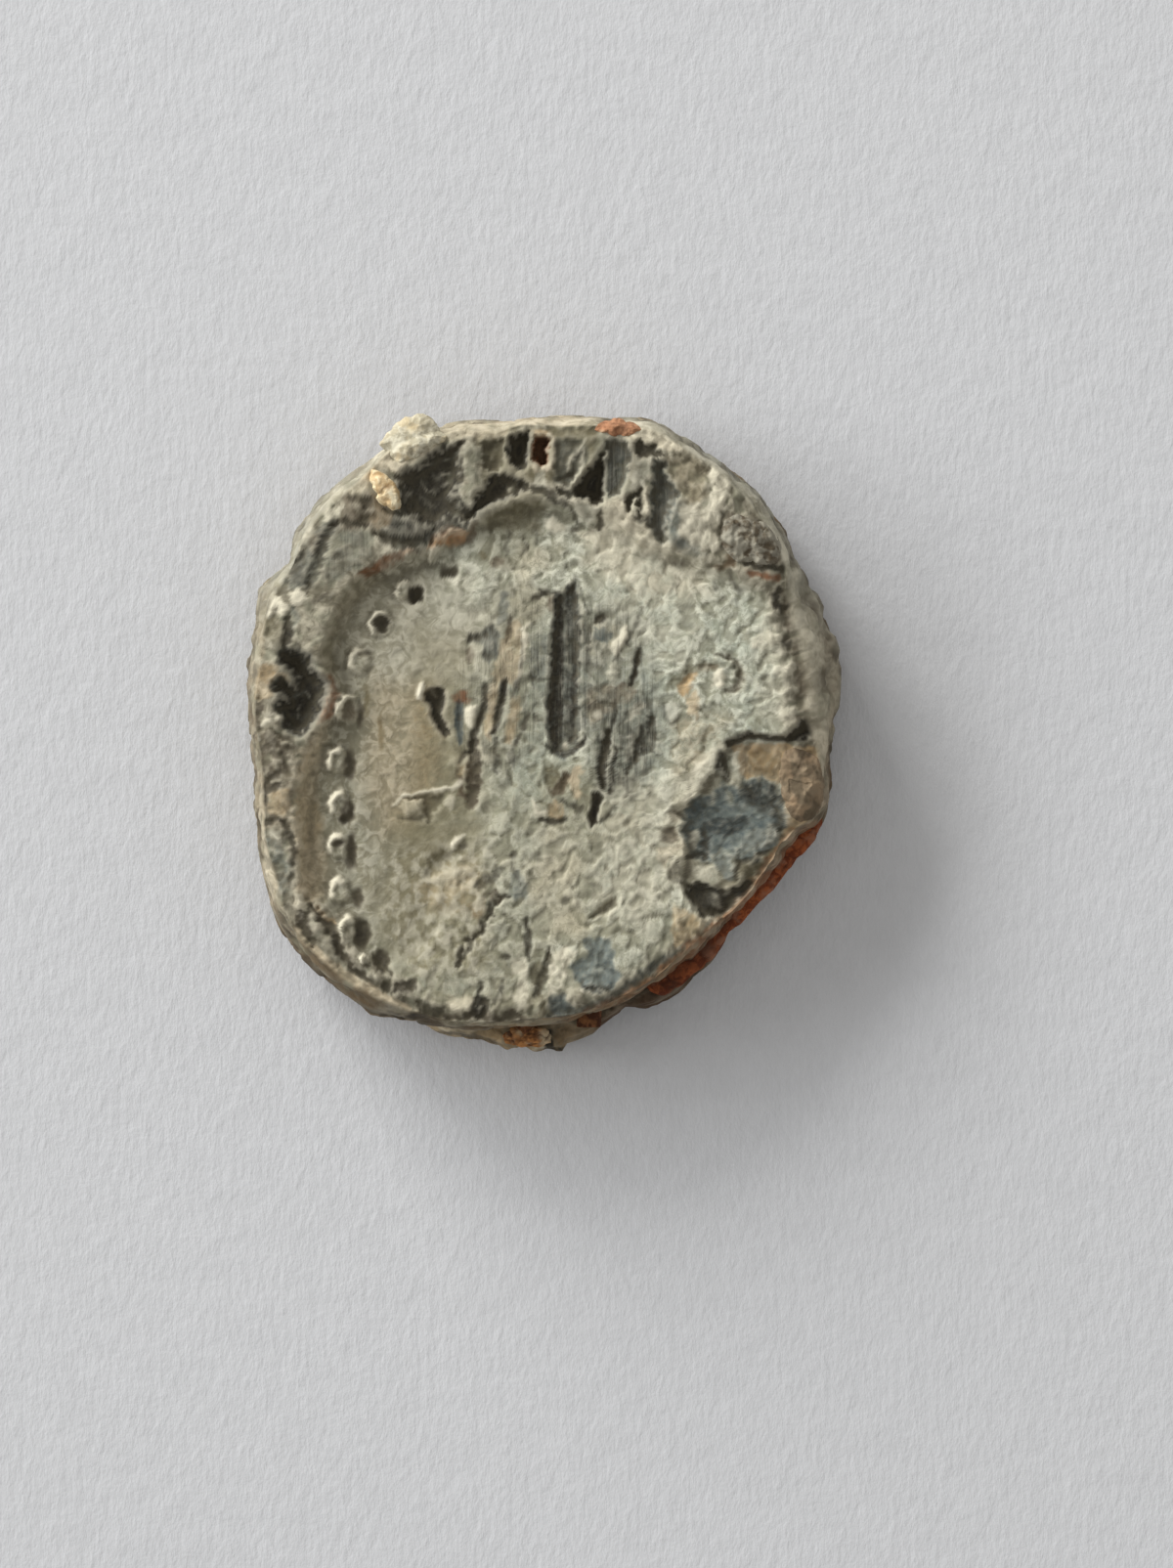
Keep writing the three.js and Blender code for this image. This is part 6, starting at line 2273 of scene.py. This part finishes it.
def makeRustSeam(material):
    base = bmesh.new()
    bmesh.ops.create_icosphere(base, subdivisions=6, radius=1)
    raw = np.array([v.co for v in base.verts])
    angle = (rustSeam["from"] + rustSeam["to"]) / 2 + (rustSeam["to"] - rustSeam["from"]) / 2 * raw[:, 0]
    body = np.sqrt(np.clip(1 - raw[:, 0] ** 2, 1e-6, 1))
    across, rise = raw[:, 1] / body, raw[:, 2] / body
    across, rise = np.sign(across) * np.abs(across) ** 0.6, np.sign(rise) * np.abs(rise) ** 0.7
    full = np.clip(body * 2.2, 0, 1)
    outer = outlineAt(angle) + aroundValues(rustSeam["proud"])(angle)
    inner = frontFootAt(angle) - rustSeam["tuck"]
    middle = np.minimum(openingAt(angle), rustSeam["high"] - rustSeam["low"])
    radius = (inner + outer) / 2 + (outer - inner) / 2 * across * full
    halfHeight = (middle / 2 + 0.05) * full
    z = rustSeam["low"] + middle / 2 + rise * halfHeight
    arc = np.radians(angle) * leaf["arcRadius"]
    lumps = 0.11 * roughNoise(arc, z + radius, 0.8, 301, 4)
    lumps = lumps + 0.07 * roughNoise(arc * 0.6, z * 2, 0.4, 302, 3)
    radius = radius + np.minimum(lumps, 0.04) * smoothStep(across, 0.2, 0.9)
    z = np.clip(z, rustSeam["low"], rustSeam["high"])
    lower = 1 - smoothStep(angle, 308, 322)
    band = smoothStep(across, -0.1, 0.2) * (1 - smoothStep(across, 0.2, 0.5))
    # painted shade between the lumps, a painted highlight on them, and darker over the lower part of the
    # seam
    values = {
        "hollowShade": np.clip(-lumps * 5 + 0.5 * lower, 0, 1),
        "peakHighlight": np.clip(lumps * 4, 0, 1) * (1 - 0.7 * lower),
        "touch": 0.5 * band * smoothStep(lumps, -0.02, 0.04),
    }
    places = np.c_[radius * np.cos(np.radians(angle)), radius * np.sin(np.radians(angle)), z]
    return finishPiece("swollenRustSeam", base, places, values, material)


seamPiece = makeRustSeam(growthMaterial("seamRust", rustFinish["seam"]))
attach(seamPiece, "root")
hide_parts("rust_seam")
print("rust seam made")

# crusts and flakes that lie on the front leaf. each says only what differs from this
growthForm = {
    "cells": 72,
    "steps": (1, 2, 3, 4),  # rings of wall below the grid
    "walls": (0.99, 0.97, 0.9, 0.3),
    "reach": (0.99, 0.94, 0.82, 0.25),  # share of the outline's reach at each ring
    "sunk": (0.3, 0.65, 1, 1),  # share of under at each ring
    "under": 0.3,  # mm into the leaf
    "low": 3.6,  # mm, where the leaf falls below this the bed blends to it
    "blend": 0.12,
    "spread": 0,  # mm over which the bed is evened
}

growths = {
    "cream_crust": dict(
        outline=[
            (396, 462), (388, 455), (400, 440), (408, 431), (420, 426), (432, 423), (441, 427),
            (447, 435), (450, 441), (458, 447), (448, 455), (436, 462), (420, 470), (408, 474),
        ],
        low=4.75, thick=0.3, plateau=2.5, rough=0.07, lump=0.5, grain=2600, finish="cream",
        slot="pale_crust", touch=0.2, under=0.45, spread=0.24,
    ),
    "tan_flake": dict(
        outline=[
            (380, 480), (390, 483), (399, 490), (406, 499), (410, 510), (409, 522), (402, 523),
            (396, 518), (388, 515), (386, 505), (381, 496), (377, 488),
        ],
        thick=0.26, plateau=7, rough=0.02, lump=0.5, grain=2600, finish="flake", slot="tan_earth",
        touch=0.1,
    ),
    "dark_scab": dict(
        outline=[
            (738, 540), (745, 528), (758, 527), (770, 533), (782, 534), (793, 544), (800, 558),
            (797, 572), (784, 578), (770, 574), (756, 576), (744, 566), (737, 554),
        ],
        thick=0.16, plateau=4, rough=0.09, lump=0.6, grain=1700, finish="scab", slot="dark_crust",
        touch=0.1,
    ),
    "brown_earth": dict(
        outline=[
            (802, 768), (812, 764), (826, 768), (838, 775), (842, 790), (844, 808), (841, 826),
            (832, 838), (820, 842), (810, 836), (804, 822), (800, 804), (799, 784),
        ],
        thick=0.2, plateau=3, rough=0.05, lump=0.8, grain=1700, finish="brown", slot="tan_earth",
        touch=0.3,
    ),
    "rust_head": dict(
        outline=[
            (608, 440), (614, 432), (624, 430), (640, 431), (652, 434), (656, 439), (646, 444),
            (634, 445), (621, 443),
        ],
        low=4.5, thick=0.12, plateau=3, rough=0.06, lump=0.42, grain=3300, finish="head", slot="rust",
        touch=0.1,
    ),
}


def makeGrowth(name, growth):
    growth = {**growthForm, **growth}
    base, angle, share, level = discMesh(growth["cells"], growth["walls"])
    points = growth["outline"]
    middle = (sum(p[0] for p in points) / len(points), sum(p[1] for p in points) / len(points))
    height = leaf["fieldLevel"] + leaf["crestAbove"]
    reachAt = aroundPoint(points, height, middle)
    middleX, middleY = fromPhoto(*middle, height)
    inner = np.where(level == 0, share, np.interp(level, growth["steps"], growth["reach"]))
    edgeNoise = roughNoise(np.radians(angle) * 1.6, level * 0.35, 0.5, 431, 2)
    edgeNoise = edgeNoise * smoothStep(inner, 0.7, 0.95)
    radius = reachAt(angle) * (inner + 0.07 * edgeNoise * (level > 0))
    x, y = middleX + radius * np.cos(np.radians(angle)), middleY + radius * np.sin(np.radians(angle))
    wobble = 0.04 * roughNoise(x, y, 0.35, 401, 3) * (level == 0)
    x, y = x + wobble, y - wobble
    spread = growth["spread"]
    around = ((0, 0), (spread, 0), (-spread, 0), (0, spread), (0, -spread))
    bed = sum(leafSurface(x + dx, y + dy) for dx, dy in around) / len(around)
    surface = growth["blend"] * np.logaddexp(bed / growth["blend"], growth["low"] / growth["blend"])
    lumps = growth["rough"] * roughNoise(x, y, growth["lump"], 411, 2)
    cover = 1 - share ** growth["plateau"]
    z = surface + growth["thick"] * cover + lumps * np.sqrt(np.clip(cover, 0, 1)) - 0.04 * (share > 0.98)
    sunk = np.interp(level, growth["steps"], growth["sunk"]) * growth["under"]
    z = np.where(level == 0, z, surface - sunk)
    # painted shade between the lumps and a painted highlight on their tops
    values = {
        "hollowShade": np.clip(-lumps / growth["rough"] * 0.9 - 0.15, 0, 0.9),
        "peakHighlight": np.clip(lumps / growth["rough"] * 0.7, 0, 1),
        "touch": np.full(x.shape, growth["touch"]) * smoothStep(roughNoise(x, y, 0.8, 421, 2), -0.1, 0.2),
    }
    material = growthMaterial(name + "Finish", rustFinish[growth["finish"]], growth["grain"])
    piece = finishPiece("lying_" + name, base, np.c_[x, y, z], values, material)
    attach(piece, "root")
    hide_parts(name)


for name, growth in growths.items():
    makeGrowth(name, growth)
print("growths made")

# rust that has run out over the ledge below the front leaf
rustFoot = {
    "at": (540, 1060),  # pixels of the photograph, and half sizes
    "half": (24, 11),
    "low": 2.12,  # mm
    "high": 2.62,
    "within": (2.08, 3.0),
}


def makeRustFoot(material):
    base = bmesh.new()
    bmesh.ops.create_icosphere(base, subdivisions=5, radius=1)
    raw = np.array([v.co for v in base.verts])
    height = (rustFoot["low"] + rustFoot["high"]) / 2
    middleX, middleY = fromPhoto(*rustFoot["at"], height)
    halfX, halfY = (half * photo["pixelSize"] for half in rustFoot["half"])
    lumps = roughNoise(raw[:, 0] * 1.4, raw[:, 1] + raw[:, 2] * 0.7, 0.6, 501, 4)
    grow = 1 + 0.16 * lumps
    x = middleX + halfX * raw[:, 0] * grow
    y = middleY + halfY * raw[:, 1] * grow
    z = height + (rustFoot["high"] - rustFoot["low"]) / 2 * raw[:, 2] * grow
    z = np.clip(z, *rustFoot["within"])
    # painted shade between the lumps and a painted highlight on their tops
    values = {
        "hollowShade": np.clip(-lumps * 1.4, 0, 1), "peakHighlight": np.clip(lumps, 0, 1),
        "touch": smoothStep(raw[:, 0], 0.35, 0.7) * 0.8,
    }
    return finishPiece("rustAtFoot", base, np.c_[x, y, z], values, material)


footPiece = makeRustFoot(growthMaterial("footRust", rustFinish["foot"]))
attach(footPiece, "root")
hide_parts("rust_foot")

ironMaterial = growthMaterial("rustedTie", rustFinish["iron"])
for name in ("tie_wire_left", "tie_wire_right"):
    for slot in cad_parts[name].material_slots:
        slot.material = ironMaterial
print("rust and ties finished")

# paper and light
paper = {"size": 700, "colour": seen(207, 208, 210), "shade": 0.96}


def makeFloor():
    material, wire, shader = newMaterial("palePaper")
    fibre = wire.noise(3000, 4, 0.65, (1, 0.45, 1))
    tint = wire.noise(700, 3, 0.6)
    darker = tuple(c * paper["shade"] for c in paper["colour"][:3]) + (1,)
    colour = (tint * 0.6 + fibre * 0.4).stepped(0.35, 0.65).mixed(darker, paper["colour"])
    wire.tree.links.new(colour.socket, shader.inputs["Base Color"])
    shader.inputs["Roughness"].default_value = 0.95
    shader.inputs["Specular IOR Level"].default_value = 0.1
    height = fibre + tint * 0.6
    bump = wire.add("ShaderNodeBump", None, {"Height": height, "Strength": 0.4, "Distance": 0.00012})
    wire.tree.links.new(bump.socket, shader.inputs["Normal"])
    base = bmesh.new()
    bmesh.ops.create_grid(base, x_segments=1, y_segments=1, size=paper["size"] / 2 * mm)
    mesh = bpy.data.meshes.new("paper")
    base.to_mesh(mesh)
    base.free()
    mesh.materials.append(material)
    floor = bpy.data.objects.new("paper", mesh)
    bpy.context.scene.collection.objects.link(floor)


lights = {  # power in watts, width, height and place in metres
    "window": {
        "power": 4.7, "size": (0.8, 0.25), "from": (-0.662, 0.295, 0.338), "colour": (0.97, 0.985, 1.0),
    },
    "fill": {"power": 5.1, "size": (0.3, 0.3), "from": (-0.43, 0.625, 0.25), "colour": (1.0, 0.99, 0.97)},
}
ambient = {"strength": 0.47, "colour": (1.0, 0.985, 0.965, 1)}


def makeLights():
    for name, light in lights.items():
        lamp = bpy.data.lights.new(name, "AREA")
        lamp.shape = "RECTANGLE"
        lamp.size, lamp.size_y = light["size"]
        lamp.energy = light["power"]
        lamp.color = light["colour"]
        placed = bpy.data.objects.new(name, lamp)
        placed.location = light["from"]
        placed.rotation_euler = (-Vector(light["from"])).to_track_quat("-Z", "Y").to_euler()
        bpy.context.scene.collection.objects.link(placed)
    world = bpy.data.worlds.new("room")
    world.use_nodes = True
    world.node_tree.nodes["Background"].inputs["Color"].default_value = ambient["colour"]
    world.node_tree.nodes["Background"].inputs["Strength"].default_value = ambient["strength"]
    bpy.context.scene.world = world


makeFloor()
makeLights()
bpy.context.scene.view_settings.view_transform = "Standard"
print("floor and light made")
